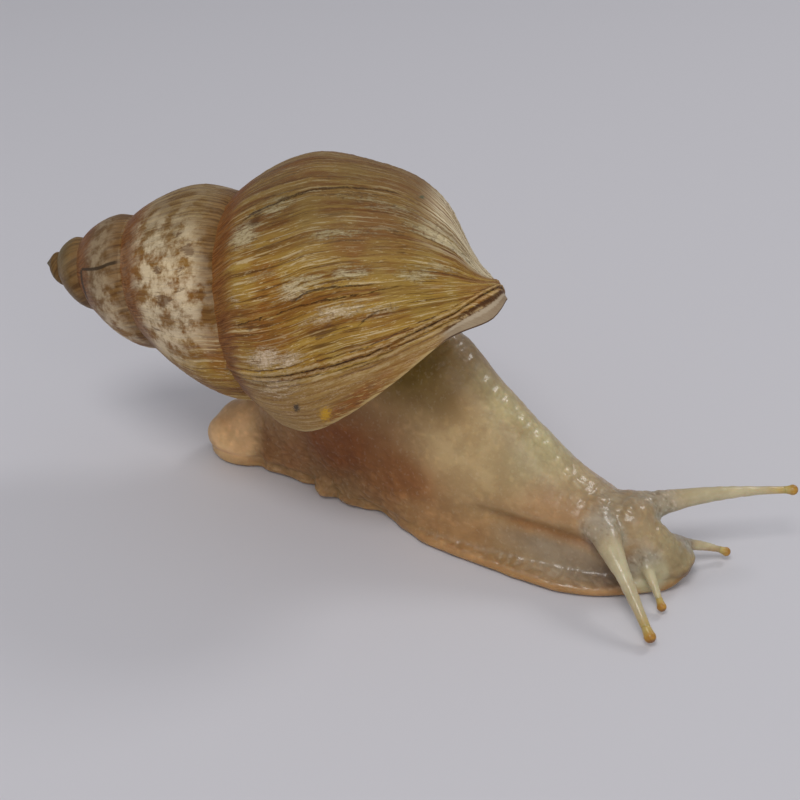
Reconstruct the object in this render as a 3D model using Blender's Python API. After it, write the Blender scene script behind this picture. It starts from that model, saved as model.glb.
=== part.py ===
"""Giant African land snail, life size, crawling with its shell level and its head down.

Metres at the end, millimetres in the functions: +Z is up, the head looks along -Y, the animal's
right side is -X, and the sole lies on z = 0. The shell is a dextral spiral: one generating curve
grows as it turns about the shell's axis, and its growth lines run back as they leave the suture.
The flesh is modelled whole, cut clear of the shell, and then parted into its named lengths.
"""

import math

import bmesh
import bpy
import numpy as np

MM = 0.001
TURN = 2 * math.pi
GAP = 0.3  # between pieces that touch

# ---------------------------------------------------------------- driving dimensions, millimetres
SHELL_SCALE = 92.2  # the shell's own unit: all its ratios below are multiples of this
APEX = np.array((-23.3, 62.6, 38.0))  # where the shell's axis starts
AXIS_YAW = math.radians(14.5)  # the axis runs forward and a little to the left
AXIS_PITCH = math.radians(1.0)
SUTURE_END = math.radians(60.3)  # angle about the axis at which the last suture meets the lip

CURVE_RADIUS = 0.094  # centre of the generating curve, out from the axis
CURVE_ALONG = 0.679  # centre of the generating curve, along the axis
CURVE_HALF_WIDTH = 0.197
CURVE_HALF_FRONT = 0.279  # half height towards the front
POWER_FRONT = 1.85  # superellipse power of that half
# The rear half, which shapes the shoulder: turns from the lip, half height, superellipse power.
SHOULDER = ((-1.25, 0.35, 1.4), (-0.53, 0.22, 1.5), (-0.25, 0.285, 1.5), (0.0, 0.253, 1.9))
WIDEN_RATE = (math.log(1.248), -0.073)  # growth across the axis in a turn, and its slowing
LENGTHEN_RATE = (math.log(1.486), -0.082)  # growth along the axis in a turn, and its slowing
# How the base bulges and then draws in, by a share of its radius: middle and half spread round
# the curve. Both lie so many turns behind the lip: start, full, full until, end.
BELLY = (0.085, math.radians(39), math.radians(32))
WAIST = (0.30, math.radians(79), math.radians(24))
WAIST_BEHIND = (0.02, 0.08, 0.17, 0.42)
SWEEP_BACK = (math.radians(-77.2), math.radians(-24.8))  # of a growth line, linear and square
SWEEP_FROM = math.radians(-48.9)  # stretch of the generating curve over which it sweeps back
SWEEP_TO = math.radians(82.4)
FRONT_FOLD = math.radians(113)  # where the generating curve folds in to the columella
BLOCKS = 5  # lengths of spiral from the lip to the apex, each a little under one turn
TIP_ALONG = 0.2  # the rounded tip of the shell stands this far along the axis
MOUTH_CENTRE = (66.0, 13.0, math.radians(-50))  # of the pocket's floor: along, out from, about the axis
WALL = 1.3  # shell wall at the lip
POCKET_TURN = 0.1  # depth of the mouth of the shell, in turns
LIP_TURN = 0.004  # the lip's edge is rounded over this much of a turn
MOUTH_MARGIN = (0.12, 0.15)  # radians from the suture and from the fold to the mouth's two ends
MANTLE_MARGIN = (0.27, 0.65)  # the same, for the mantle inside it
MANTLE_RECESS = 0.008  # of the mantle behind the lip, in turns

COLUMNS = 20  # per block
ROWS_WHORL = 5  # from suture to suture
ROWS_FRONT = 6  # from there to the columella, on the last block

# Stations down the flesh, tail first: y, middle of the sole, half width of the sole, half width
# of the back, height of the crown, and how far the crown leans to the animal's left.
STATIONS = (
    (35.6, -10.5, 2.5, 2.2, 6.0, 0.0),
    (33.5, -10.2, 4.6, 4.8, 9.4, 0.0),
    (29.0, -9.2, 6.9, 7.0, 12.0, 0.0),
    (22.0, -7.2, 7.4, 8.0, 15.5, -1.5),
    (12.0, -5.4, 9.4, 9.5, 30.0, -7.5),
    (3.0, -4.6, 12.0, 11.5, 35.0, -9.0),
    (-6.0, -5.2, 11.2, 12.5, 38.6, -3.5),
    (-14.7, -7.0, 12.7, 11.5, 35.5, 0.0),
    (-22.0, -8.0, 12.7, 10.4, 29.3, 0.6),
    (-30.6, -8.3, 12.6, 9.6, 22.8, 0.4),
    (-37.7, -8.4, 12.8, 9.0, 17.6, 0.2),
    (-43.7, -8.3, 12.2, 8.0, 14.3, 0.2),
    (-48.5, -8.1, 10.6, 6.9, 13.4, 0.0),
    (-53.0, -8.1, 7.6, 5.4, 11.2, 0.0),
    (-57.0, -7.6, 4.9, 4.3, 8.2, 0.0),
    (-59.6, -7.0, 3.3, 3.3, 5.4, 0.0),
    (-60.6, -6.8, 2.2, 2.3, 3.6, 0.0),
)
STATION_STEP = 2.2  # between the sections cut through the flesh
BACK_ANGLES = (16, 33, 50, 67, 80)  # degrees at which a section has points up each side
MARGIN_THICK = 1.9  # the thin edge of the foot
FOOT_TOP = 3.0  # height at which the foot is parted from the body on it
FOOT_FRONT = -57.4  # the foot ends here, and the lips reach on over the floor
LIP_CLEARANCE = 1.0  # of the lips above the floor
TAIL_FROM = 18.0  # y of the partings between the lengths of the body
MANTLE_TO = -30.0  # the body is cut out of the mantle as far forward as this y
NECK_FROM = -9.0
HEAD_FROM = -41.0
LIPS_FROM = FOOT_FRONT - GAP

# Tentacles: base, elbow and tip on the tentacle's middle line, then the radius at each.
UPPER_RIGHT = (((-10.4, -43.9, 10.2), (-18.2, -51.4, 8.2), (-25.2, -60.2, 1.7)), (3.6, 1.6, 0.8))
UPPER_LEFT = (((-5.6, -48.6, 9.8), (1.6, -58.2, 12.2), (11.5, -71.2, 12.0)), (3.4, 1.6, 0.7))
LOWER_RIGHT = (((-10.3, -52.4, 5.0), (-13.6, -55.7, 4.1), (-16.8, -59.1, 1.4)), (1.7, 0.95, 0.58))
LOWER_LEFT = (((-5.0, -55.9, 5.2), (-0.6, -59.6, 3.7), (2.6, -63.6, 1.8)), (1.7, 0.95, 0.58))
UPPER_BULB = 1.0  # radius of the swollen tip that bears the eye
LOWER_BULB = 0.8
UPPER_STALK_FROM = 0.36  # share of the tentacle's length at which the stalk leaves its root
LOWER_STALK_FROM = 0.5
TUBE_SIDES = 10
TUBE_RINGS = 9


# ---------------------------------------------------------------- the shell's surface
def shell_axes():
    """The axis direction from apex to front, and the two directions across it."""
    along = np.array((
        math.sin(AXIS_YAW) * math.cos(AXIS_PITCH),
        -math.cos(AXIS_YAW) * math.cos(AXIS_PITCH),
        math.sin(AXIS_PITCH),
    ))
    across = np.cross(along, (0.0, 0.0, 1.0))
    across /= np.linalg.norm(across)
    return along, across, np.cross(along, across)


def growth(n):
    """Size across and along the axis at n turns from the lip; n is negative."""
    widen = np.exp(WIDEN_RATE[0] * n + WIDEN_RATE[1] * n * n)
    lengthen = np.exp(LENGTHEN_RATE[0] * n + LENGTHEN_RATE[1] * n * n)
    return SHELL_SCALE * widen, SHELL_SCALE * lengthen


def eased(t):
    t = np.clip(t, 0, 1)
    return t * t * (3 - 2 * t)


def shoulder(n):
    """Half height and power of the curve's rear half, eased from one row of SHOULDER to the next."""
    half, power = SHOULDER[0][1:]
    for (start, half_from, power_from), (end, half_to, power_to) in zip(SHOULDER, SHOULDER[1:]):
        t = eased((n - start) / (end - start))
        half = half + (half_to - half_from) * t
        power = power + (power_to - power_from) * t
    return half, power


def base_shape(n, phi):
    """Factor on the radius for the belly and the waist of the base."""
    def share(depth, middle, spread):
        return depth * eased(1 - np.abs(phi - middle) / spread)

    start, full, until, end = WAIST_BEHIND
    behind = eased((-n - start) / (full - start)) * (1 - eased((-n - until) / (end - until)))
    return 1 + behind * (share(*BELLY) - share(*WAIST))


def generating_curve(n, phi):
    """(radius, distance along the axis) at angle phi on the curve: 0 is outermost, 90 degrees front."""
    widen, lengthen = growth(n)
    half_rear, power_rear = shoulder(n)
    c, s = np.cos(phi), np.sin(phi)
    power = np.where(s > 0, 2 / POWER_FRONT, 2 / power_rear)
    half = np.where(s > 0, CURVE_HALF_FRONT, half_rear)
    x = CURVE_HALF_WIDTH * np.sign(c) * np.abs(c) ** power
    y = half * np.sign(s) * np.abs(s) ** power
    return (CURVE_RADIUS + x) * widen * base_shape(n, phi), (CURVE_ALONG + y) * lengthen


def on_curve(n, radius, along):
    """How far out of the curve a point lies, with 1 on it, and its angle phi."""
    widen, lengthen = growth(n)
    half_rear, power_rear = shoulder(n)
    x = (radius / widen - CURVE_RADIUS) / CURVE_HALF_WIDTH
    y = along / lengthen - CURVE_ALONG
    power = np.where(y > 0, POWER_FRONT, power_rear)
    y = y / np.where(y > 0, CURVE_HALF_FRONT, half_rear)
    level = np.abs(x) ** power + np.abs(y) ** power
    return level, np.arctan2(np.sign(y) * np.abs(y) ** (power / 2), np.sign(x) * np.abs(x) ** (power / 2))


def sweep(phi):
    """How far a growth line has swept back about the axis at phi."""
    s = np.clip((phi - SWEEP_FROM) / (SWEEP_TO - SWEEP_FROM), 0, 1)
    return SWEEP_BACK[0] * s + SWEEP_BACK[1] * s * s


def suture(n):
    """Where the growth line n springs from the whorl before it.

    Gives its own angle phi there, and the older growth line and its phi at the same point."""
    phi = np.linspace(math.radians(-12), math.radians(170), 1400)
    older = n - 1 - sweep(phi) / TURN
    level, own = on_curve(n, *generating_curve(older, phi))
    inside = np.nonzero(level < 1)[0]
    if len(inside):
        i = int(inside[0])
        t = (level[i - 1] - 1) / (level[i - 1] - level[i])
        meet = phi[i - 1] + t * (phi[i] - phi[i - 1])
    else:  # at the very tip the whorls only just touch
        meet = phi[int(np.argmin(level))]
    older = n - 1 - sweep(meet) / TURN
    own = on_curve(n, *generating_curve(older, meet))[1]
    return float(own), float(older), float(meet)


def axis_point(distance, radius, turn):
    """The point at a distance along the shell's axis, a radius out from it, and an angle about it."""
    along, across, below = shell_axes()
    return APEX + distance * along + radius * (math.cos(turn) * across + math.sin(turn) * below)


def shell_point(n, phi, inset=0.0):
    """A point of the shell's surface, or one that lies inset inside it, in millimetres."""
    step = 0.002
    turn = SUTURE_END + TURN * n + sweep(phi)
    radius, distance = generating_curve(n, phi)
    ahead = generating_curve(n, phi + step)
    behind = generating_curve(n, phi - step)
    normal = np.array((ahead[1] - behind[1], behind[0] - ahead[0]))
    normal /= np.linalg.norm(normal)
    return axis_point(distance - inset * normal[1], max(radius - inset * normal[0], 0.0), turn)


def spiral_blocks():
    """The growth lines of each block, last block first. A block's upper edge is the next one's lower."""
    first = suture(0.0)[1]
    block = list(np.linspace(first, 0.0, COLUMNS + 1))
    blocks = [block]
    while len(blocks) < BLOCKS:
        block = [suture(n)[1] for n in block]
        blocks.append(block)
    return blocks


def build_shell(inflate=0.0):
    """Closed mesh of the shell. The outside grows by inflate, and the mouth narrows by it."""
    points, faces = [], []

    def add(point):
        points.append(point)
        return len(points) - 1

    def grid(columns):
        for left, right in zip(columns, columns[1:]):
            for a, b, c, d in zip(left, left[1:], right[1:], right):
                ring = [v for i, v in enumerate((a, b, c, d)) if v not in (a, b, c, d)[:i]]
                if len(ring) > 2:
                    faces.append(ring)

    def row(n, start, end, count, inset):
        return [add(shell_point(n, phi, inset)) for phi in np.linspace(start, end, count + 1)]

    blocks = spiral_blocks()
    lip_start, _, meet_lip = suture(0.0)
    # last block: from its suture right round to the columella
    last = []
    for n in blocks[0]:
        top = suture(n)[0]
        upper = row(n, top, meet_lip, ROWS_WHORL, -inflate)
        last.append(upper + row(n, meet_lip, FRONT_FOLD, ROWS_FRONT, -inflate)[1:])
    # the first growth line of this block runs through the end of the suture
    last[0][ROWS_WHORL] = last[-1][0]
    grid(last)
    newer = last
    for newer_block, block in zip(blocks, blocks[1:]):
        columns = []
        for i, n in enumerate(block[:-1]):
            top, bottom = suture(n)[0], suture(newer_block[i])[2]
            columns.append(row(n, top, bottom, ROWS_WHORL, -inflate)[:-1] + [newer[i][0]])
        columns.append(newer[0][: ROWS_WHORL + 1])
        grid(columns)
        newer = columns
    # apex
    tip = add(APEX + shell_axes()[0] * (TIP_ALONG - inflate))
    ring = [column[0] for column in newer] + newer[0][-2:0:-1]
    for a, b in zip(ring, ring[1:] + ring[:1]):
        if a != b:
            faces.append([tip, a, b])
    # lip, and the mouth behind it
    lip = last[-1]
    inner = [lip]
    mouth = np.linspace(lip_start + MOUTH_MARGIN[0], FRONT_FOLD - MOUTH_MARGIN[1], len(lip))
    for turn_back in (LIP_TURN, POCKET_TURN / 2, 0.75 * POCKET_TURN, POCKET_TURN - inflate * 0.01):
        inner.append([add(shell_point(-turn_back, phi, WALL + inflate)) for phi in mouth])
    grid(inner)
    distance, radius, turn = MOUTH_CENTRE
    centre = add(axis_point(distance, radius, turn + 2 * inflate / radius))
    loop = [column[0] for column in inner] + inner[-1][1:] + [column[-1] for column in inner[-2::-1]]
    loop += [column[-1] for column in last[-2::-1]] + last[0][-2: ROWS_WHORL: -1]
    for a, b in zip(loop, loop[1:] + loop[:1]):
        if a != b:
            faces.append([centre, a, b])
    return points, faces


# ---------------------------------------------------------------- the flesh
def station(y):
    """The station values at y, from a smooth curve through the stations."""
    table = np.array(STATIONS)[::-1]
    at = table[:, 0]
    i = int(np.clip(np.searchsorted(at, y) - 1, 0, len(at) - 2))
    span = at[i + 1] - at[i]
    t = (y - at[i]) / span

    def slope(k):
        lo, hi = max(k - 1, 0), min(k + 1, len(at) - 1)
        return (table[hi] - table[lo]) / (at[hi] - at[lo])

    start, end = table[i], table[i + 1]
    value = ((2 * t**3 - 3 * t**2 + 1) * start + (t**3 - 2 * t**2 + t) * span * slope(i)
             + (-2 * t**3 + 3 * t**2) * end + (t**3 - t**2) * span * slope(i + 1))
    return value[1:]


def flesh_section(y, low=0.0, swell=0.0, flat=False):
    """Outline of the flesh across the body at y, from the height low up.

    A flat one ends at the waist, under the length that stands on it."""
    middle, sole, back, crown, lean = station(y)
    sole, back, crown = sole + swell, back + swell, crown + swell
    edge = min(MARGIN_THICK, 0.5 * crown)
    waist = min(FOOT_TOP, 0.6 * crown)
    waist_width = back + 0.25 * max(sole - back, 0.0)
    if low > 0:  # a length that stands on the foot, or reaches on in front of it
        half = [(0.0, low), (0.6 * waist_width, low), (waist_width - 0.4, low), (waist_width, low + 0.3)]
        waist = low + 0.2
    else:
        half = [(0.0, 0.0), (0.5 * sole, 0.0), (sole - 0.9, 0.0), (sole, 0.45 * edge),
                (sole - 0.5, edge), (waist_width, waist)]
    if not flat:
        for angle in np.radians(BACK_ANGLES):
            half.append((back * math.cos(angle) ** 0.9, waist + (crown - waist) * math.sin(angle)))
        top = crown
    else:  # a length that ends flat under the body
        half.append((0.5 * waist_width, waist))
        top = waist
    outline = half + [(0.0, top)] + [(-x, z) for x, z in half[:0:-1]]
    return [(middle + x + lean * (z / crown) ** 1.5, z) for x, z in outline]


def loft(rings):
    """Closed mesh through rings of points, all of one length, with flat ends."""
    size, count = len(rings[0]), len(rings) - 1
    points = [point for ring in rings for point in ring]
    faces = []
    for j in range(count):
        for i in range(size):
            k = (i + 1) % size
            faces.append([j * size + i, j * size + k, (j + 1) * size + k, (j + 1) * size + i])
    faces.append(list(range(size))[::-1])
    faces.append([count * size + i for i in range(size)])
    return points, faces


def flesh_length(start, end, low=0.0, swell=0.0, flat=False):
    """Closed loft of the flesh from y = start forward to y = end."""
    count = max(2, round((start - end) / STATION_STEP))
    return loft([[(x, y, z) for x, z in flesh_section(y, low, swell, flat)]
                 for y in np.linspace(start, end, count + 1)])


def tube(line, radii, start=0.0, end=1.0, rings=TUBE_RINGS, swell=0.0):
    """Closed tapered tube along a stretch of a curve through base, elbow and tip."""
    base, elbow, tip = (np.array(p) for p in line)
    control = 2 * elbow - (base + tip) / 2
    made = []
    for t in np.linspace(start, end, rings):
        centre = (1 - t) ** 2 * base + 2 * t * (1 - t) * control + t * t * tip
        ahead = 2 * (1 - t) * (control - base) + 2 * t * (tip - control)
        ahead /= np.linalg.norm(ahead)
        side = np.cross(ahead, (0.0, 0.0, 1.0))
        side /= np.linalg.norm(side)
        over = np.cross(side, ahead)
        radius = float(np.interp(t, (0.0, 0.5, 1.0), radii)) + swell
        angles = np.linspace(0, TURN, TUBE_SIDES, endpoint=False)
        made.append([centre + radius * (math.cos(a) * side + math.sin(a) * over) for a in angles])
    return loft(made)


def mouth_plug():
    """The mantle's room: the mouth of the shell, from just behind the lip to the pocket's floor."""
    across = np.linspace(suture(0.0)[0] + MANTLE_MARGIN[0], FRONT_FOLD - MANTLE_MARGIN[1],
                         ROWS_WHORL + ROWS_FRONT + 1)
    return loft([[shell_point(-turn_back, phi, WALL + 4 * GAP) for phi in across]
                 for turn_back in (MANTLE_RECESS, POCKET_TURN / 2, 0.75 * POCKET_TURN)])


# ---------------------------------------------------------------- objects
def material(name, colour, roughness):
    made = bpy.data.materials.new(name)
    made.use_nodes = True
    shader = made.node_tree.nodes["Principled BSDF"]
    shader.inputs["Base Color"].default_value = (*colour, 1.0)
    shader.inputs["Roughness"].default_value = roughness
    return made


def mesh_object(name, shape, look=None):
    """A mesh object from points in millimetres and faces; with no look it is a cutter."""
    points, faces = shape
    mesh = bpy.data.meshes.new(name)
    mesh.from_pydata([tuple(np.asarray(p) * MM) for p in points], [], faces)
    mesh.validate()
    work = bmesh.new()
    work.from_mesh(mesh)
    bmesh.ops.triangulate(work, faces=[f for f in work.faces if len(f.verts) > 4])
    bmesh.ops.recalc_face_normals(work, faces=work.faces)
    work.to_mesh(mesh)
    work.free()
    made = bpy.data.objects.new(name, mesh)
    bpy.context.scene.collection.objects.link(made)
    if look:
        mesh.materials.append(look)
    else:
        made.hide_render = True
        made.display_type = "WIRE"
    mesh.shade_smooth()
    return made


def boolean(target, other, operation):
    cut = target.modifiers.new(f"{operation.lower()} {other.name}", "BOOLEAN")
    cut.operation = operation
    cut.object = other
    cut.solver = "MANIFOLD"  # EXACT drops the whole trunk where it meets the folded shell


def ball(centre, radius, sides=12, rings=8):
    """Closed sphere as points and faces."""
    points, faces = [np.array(centre) + (0, 0, -radius)], []
    for j in range(1, rings):
        tilt = math.pi * j / rings
        for i in range(sides):
            turn = TURN * i / sides
            offset = (math.sin(tilt) * math.cos(turn), math.sin(tilt) * math.sin(turn), -math.cos(tilt))
            points.append(np.array(centre) + radius * np.array(offset))
    points.append(np.array(centre) + (0, 0, radius))
    last = len(points) - 1
    for i in range(sides):
        k = (i + 1) % sides
        faces.append([0, 1 + k, 1 + i])
        for j in range(rings - 2):
            a, b = 1 + j * sides, 1 + (j + 1) * sides
            faces.append([a + i, a + k, b + k, b + i])
        faces.append([last, last - sides + i, last - sides + k])
    return points, faces


def build_tentacle(name, parts, bulb, stalk_from, look, bulb_look, body_piece):
    """Root joined to the head or the lips, then the stalk and its swollen tip as their own nodes."""
    line, radii = parts
    tip = np.array(line[2])
    length = np.linalg.norm(tip - np.array(line[0]))
    root = mesh_object(name + "_root", tube(line, radii, 0.0, stalk_from))
    boolean(body_piece, root, "UNION")
    stalk_start = stalk_from + GAP / length
    stalk_end = 1 - (bulb + GAP) / length
    mesh_object(name, tube(line, radii, stalk_start, stalk_end), look)
    bulb_name = name.replace("upper_tentacle", "eye") if "upper" in name else name + "_tip"
    mesh_object(bulb_name, ball(tip, bulb), bulb_look)


def main():
    for old in list(bpy.data.objects):
        bpy.data.objects.remove(old, do_unlink=True)
    shell_look = material("shell", (0.36, 0.25, 0.12), 0.45)
    flesh_look = material("flesh", (0.55, 0.42, 0.27), 0.4)
    bulb_look = material("bulb", (0.5, 0.28, 0.05), 0.3)

    mesh_object("shell", build_shell(), shell_look)
    shell_room = mesh_object("shell_room", build_shell(2 * GAP))

    tail = mesh_object("tail", flesh_length(STATIONS[0][0], TAIL_FROM + GAP), flesh_look)
    mesh_object("foot", flesh_length(TAIL_FROM, FOOT_FRONT, flat=True), flesh_look)
    above = FOOT_TOP + GAP
    trunk = mesh_object("trunk", flesh_length(TAIL_FROM, NECK_FROM + GAP, low=above), flesh_look)
    neck = mesh_object("neck", flesh_length(NECK_FROM, HEAD_FROM + GAP, low=above), flesh_look)
    head = mesh_object("head", flesh_length(HEAD_FROM, LIPS_FROM + GAP, low=above), flesh_look)
    lips = mesh_object("lips", flesh_length(LIPS_FROM, STATIONS[-1][0], low=LIP_CLEARANCE), flesh_look)
    for piece in (tail, trunk, neck):
        boolean(piece, shell_room, "DIFFERENCE")

    mantle = mesh_object("mantle", mouth_plug(), flesh_look)
    body_room = mesh_object("body_room", flesh_length(TAIL_FROM, MANTLE_TO, swell=GAP))
    boolean(mantle, shell_room, "DIFFERENCE")
    boolean(mantle, body_room, "DIFFERENCE")

    for name, parts, bulb, stalk_from in (
        ("upper_tentacle_right", UPPER_RIGHT, UPPER_BULB, UPPER_STALK_FROM),
        ("upper_tentacle_left", UPPER_LEFT, UPPER_BULB, UPPER_STALK_FROM),
        ("lower_tentacle_right", LOWER_RIGHT, LOWER_BULB, LOWER_STALK_FROM),
        ("lower_tentacle_left", LOWER_LEFT, LOWER_BULB, LOWER_STALK_FROM),
    ):
        build_tentacle(name, parts, bulb, stalk_from, flesh_look, bulb_look, head)
        line, radii = parts
        root_room = mesh_object(name + "_room", tube(line, radii, -0.1, 1.0, swell=GAP))
        boolean(lips, root_room, "DIFFERENCE")


main()
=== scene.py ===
"""Looks of the giant African land snail: shell, one skin for all the flesh, eyes, floor, light and camera.

All functions work in millimetres in the frame of the solids (head towards -Y, animal's right -X, up +Z)
and objects are made in metres. The shell's surface follows the same growth rule as the solid.
"""

import math
from types import SimpleNamespace

import bmesh
import bpy
import numpy as np
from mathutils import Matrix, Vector, noise

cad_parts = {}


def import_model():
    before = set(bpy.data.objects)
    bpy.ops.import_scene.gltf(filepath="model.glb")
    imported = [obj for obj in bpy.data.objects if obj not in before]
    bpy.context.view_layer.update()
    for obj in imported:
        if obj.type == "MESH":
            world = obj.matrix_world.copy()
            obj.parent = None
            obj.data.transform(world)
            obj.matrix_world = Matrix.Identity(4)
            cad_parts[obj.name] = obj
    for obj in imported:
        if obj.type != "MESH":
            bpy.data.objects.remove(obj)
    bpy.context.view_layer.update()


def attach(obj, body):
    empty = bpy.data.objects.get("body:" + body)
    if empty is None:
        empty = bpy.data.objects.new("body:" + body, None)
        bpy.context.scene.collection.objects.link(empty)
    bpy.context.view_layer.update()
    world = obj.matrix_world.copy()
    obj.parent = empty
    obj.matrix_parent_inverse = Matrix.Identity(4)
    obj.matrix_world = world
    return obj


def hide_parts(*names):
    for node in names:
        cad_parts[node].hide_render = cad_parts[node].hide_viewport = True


MM = 0.001
TURN = 2 * math.pi

# ---- smooth noise for shapes and zones
def smooth(value, low, high):
    t = np.clip((np.asarray(value, float) - low) / (high - low), 0, 1)
    return t * t * (3 - 2 * t)


def bump(value, middle, width):
    return np.exp(-((np.asarray(value, float) - middle) / width) ** 2)


def noise_at(position, seed):
    """Smooth value noise from -1 to 1 with a period of 1; position has 1, 2 or 3 columns."""
    position = np.asarray(position, float)
    if position.ndim == 1:
        position = position[:, None]
    axes = position.shape[1]
    side = {1: 4096, 2: 256, 3: 48}[axes]
    table = np.random.default_rng(seed).uniform(-1.0, 1.0, (side,) * axes)
    cell = np.floor(position).astype(int)
    t = smooth(position - cell, 0, 1)
    total = np.zeros(len(position))
    for corner in range(2 ** axes):
        weight = np.ones(len(position))
        index = []
        for a in range(axes):
            bit = corner >> a & 1
            weight = weight * (t[:, a] if bit else 1 - t[:, a])
            index.append((cell[:, a] + bit) % side)
        total += weight * table[tuple(index)]
    return total


# ---- the shell's form, as in the solid
SHELL_SCALE = 92.2
APEX = np.array((-23.3, 62.6, 38.0))
AXIS_YAW = math.radians(14.5)
AXIS_PITCH = math.radians(1.0)
SUTURE_END = math.radians(60.3)
CURVE_RADIUS = 0.094
CURVE_ALONG = 0.679
CURVE_HALF_WIDTH = 0.197
CURVE_HALF_FRONT = 0.279
POWER_FRONT = 1.85
SHOULDER = ((-1.25, 0.35, 1.4), (-0.53, 0.22, 1.5), (-0.25, 0.285, 1.5), (0.0, 0.253, 1.9))
WIDEN_RATE = (math.log(1.248), -0.073)
LENGTHEN_RATE = (math.log(1.486), -0.082)
BELLY = (0.085, math.radians(39), math.radians(32))
WAIST = (0.30, math.radians(79), math.radians(24))
WAIST_BEHIND = (0.02, 0.08, 0.17, 0.42)
SWEEP_BACK = (math.radians(-77.2), math.radians(-24.8))
SWEEP_FROM = math.radians(-48.9)
SWEEP_TO = math.radians(82.4)
FRONT_FOLD = math.radians(113)
TIP_ALONG = 0.2
OLDEST = -5.5  # turns back from the lip, before the tip
LONE_TURN = -5.0  # growth line that the tip and the mouth's middle count as
SUTURE_ANGLES = (math.radians(-12), math.radians(170))  # where the suture is looked for
MOUTH_CENTRE = (66.0, 13.0, math.radians(-50))  # distance along the axis, radius, turn
MOUTH_MARGIN = (0.12, 0.15)  # angles left out at both ends of the inner wall
EDGE_MARGIN = 0.02  # and at both ends of the lip's edge
# the lip's rounded edge and its inner wall: turns back from the lip, depth under the surface, and how far the
# rows have moved from the edge's angles to the mouth's
LIP_STEPS = ((0.0, 0.18, 0.15), (0.0005, 0.42, 0.4), (0.002, 0.75, 0.8), (0.006, 1.0, 1.0), (0.02, 1.2, 1.0),
             (0.045, 1.3, 1.0), (0.07, 1.3, 1.0), (0.1, 1.3, 1.0))
FAR_BACK = 40.0  # distance from the whorl's front, where there is no front to shade
PAST_LIP = 2.0  # run given to the inner side, which is past the lip

# grid of the shell: columns along the spiral for each block, rows across the whorl
BLOCK_COLUMNS = (800, 800, 400, 200, 200)
ROWS_WHORL = 26
ROWS_FRONT = 30


def shell_axes():
    along = np.array((
        math.sin(AXIS_YAW) * math.cos(AXIS_PITCH),
        -math.cos(AXIS_YAW) * math.cos(AXIS_PITCH),
        math.sin(AXIS_PITCH),
    ))
    across = np.cross(along, (0.0, 0.0, 1.0))
    across /= np.linalg.norm(across)
    return along, across, np.cross(along, across)


def growth(n):
    widen = np.exp(WIDEN_RATE[0] * n + WIDEN_RATE[1] * n * n)
    lengthen = np.exp(LENGTHEN_RATE[0] * n + LENGTHEN_RATE[1] * n * n)
    return SHELL_SCALE * widen, SHELL_SCALE * lengthen


def shoulder(n):
    """Half height and power of the curve's rear half, eased from one row of SHOULDER to the next."""
    half, power = SHOULDER[0][1:]
    for (start, half_from, power_from), (end, half_to, power_to) in zip(SHOULDER, SHOULDER[1:]):
        t = smooth(n, start, end)
        half = half + (half_to - half_from) * t
        power = power + (power_to - power_from) * t
    return half, power


def base_shape(n, phi):
    """Factor on the radius for the belly and the waist of the base."""
    def share(depth, middle, spread):
        return depth * smooth(1 - np.abs(phi - middle) / spread, 0, 1)

    start, full, until, end = WAIST_BEHIND
    behind = smooth(-n, start, full) * (1 - smooth(-n, until, end))
    return 1 + behind * (share(*BELLY) - share(*WAIST))


def generating_curve(n, phi):
    """(radius, distance along the axis) at angle phi on the growing curve."""
    widen, lengthen = growth(n)
    half_rear, power_rear = shoulder(n)
    c, s = np.cos(phi), np.sin(phi)
    power = np.where(s > 0, 2 / POWER_FRONT, 2 / power_rear)
    half = np.where(s > 0, CURVE_HALF_FRONT, half_rear)
    x = CURVE_HALF_WIDTH * np.sign(c) * np.abs(c) ** power
    y = half * np.sign(s) * np.abs(s) ** power
    return (CURVE_RADIUS + x) * widen * base_shape(n, phi), (CURVE_ALONG + y) * lengthen


def on_curve(n, radius, along):
    widen, lengthen = growth(n)
    half_rear, power_rear = shoulder(n)
    x = (radius / widen - CURVE_RADIUS) / CURVE_HALF_WIDTH
    y = along / lengthen - CURVE_ALONG
    power = np.where(y > 0, POWER_FRONT, power_rear)
    y = y / np.where(y > 0, CURVE_HALF_FRONT, half_rear)
    level = np.abs(x) ** power + np.abs(y) ** power
    return level, np.arctan2(np.sign(y) * np.abs(y) ** (power / 2), np.sign(x) * np.abs(x) ** (power / 2))


def sweep(phi):
    s = np.clip((phi - SWEEP_FROM) / (SWEEP_TO - SWEEP_FROM), 0, 1)
    return SWEEP_BACK[0] * s + SWEEP_BACK[1] * s * s


def suture(n):
    """For growth lines n: their own phi at the suture, and the older line and phi at the same point."""
    n = np.atleast_1d(np.asarray(n, float))
    phi = np.linspace(*SUTURE_ANGLES, 1400)
    older = n[:, None] - 1 - sweep(phi)[None, :] / TURN
    level, _ = on_curve(n[:, None], *generating_curve(older, phi[None, :]))
    inside = level < 1
    first = np.where(inside.any(1), inside.argmax(1), level.argmin(1))
    first = np.maximum(first, 1)
    rows = np.arange(len(n))
    before, at = level[rows, first - 1], level[rows, first]
    share = np.clip((before - 1) / np.maximum(before - at, 1e-12), 0, 1)
    meet = phi[first - 1] + share * (phi[first] - phi[first - 1])
    older = n - 1 - sweep(meet) / TURN
    own = on_curve(n, *generating_curve(older, meet))[1]
    return own, older, meet


def axis_points(distance, radius, turn):
    along, across, below = shell_axes()
    return (APEX + distance[..., None] * along
            + radius[..., None] * (np.cos(turn)[..., None] * across + np.sin(turn)[..., None] * below))


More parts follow.
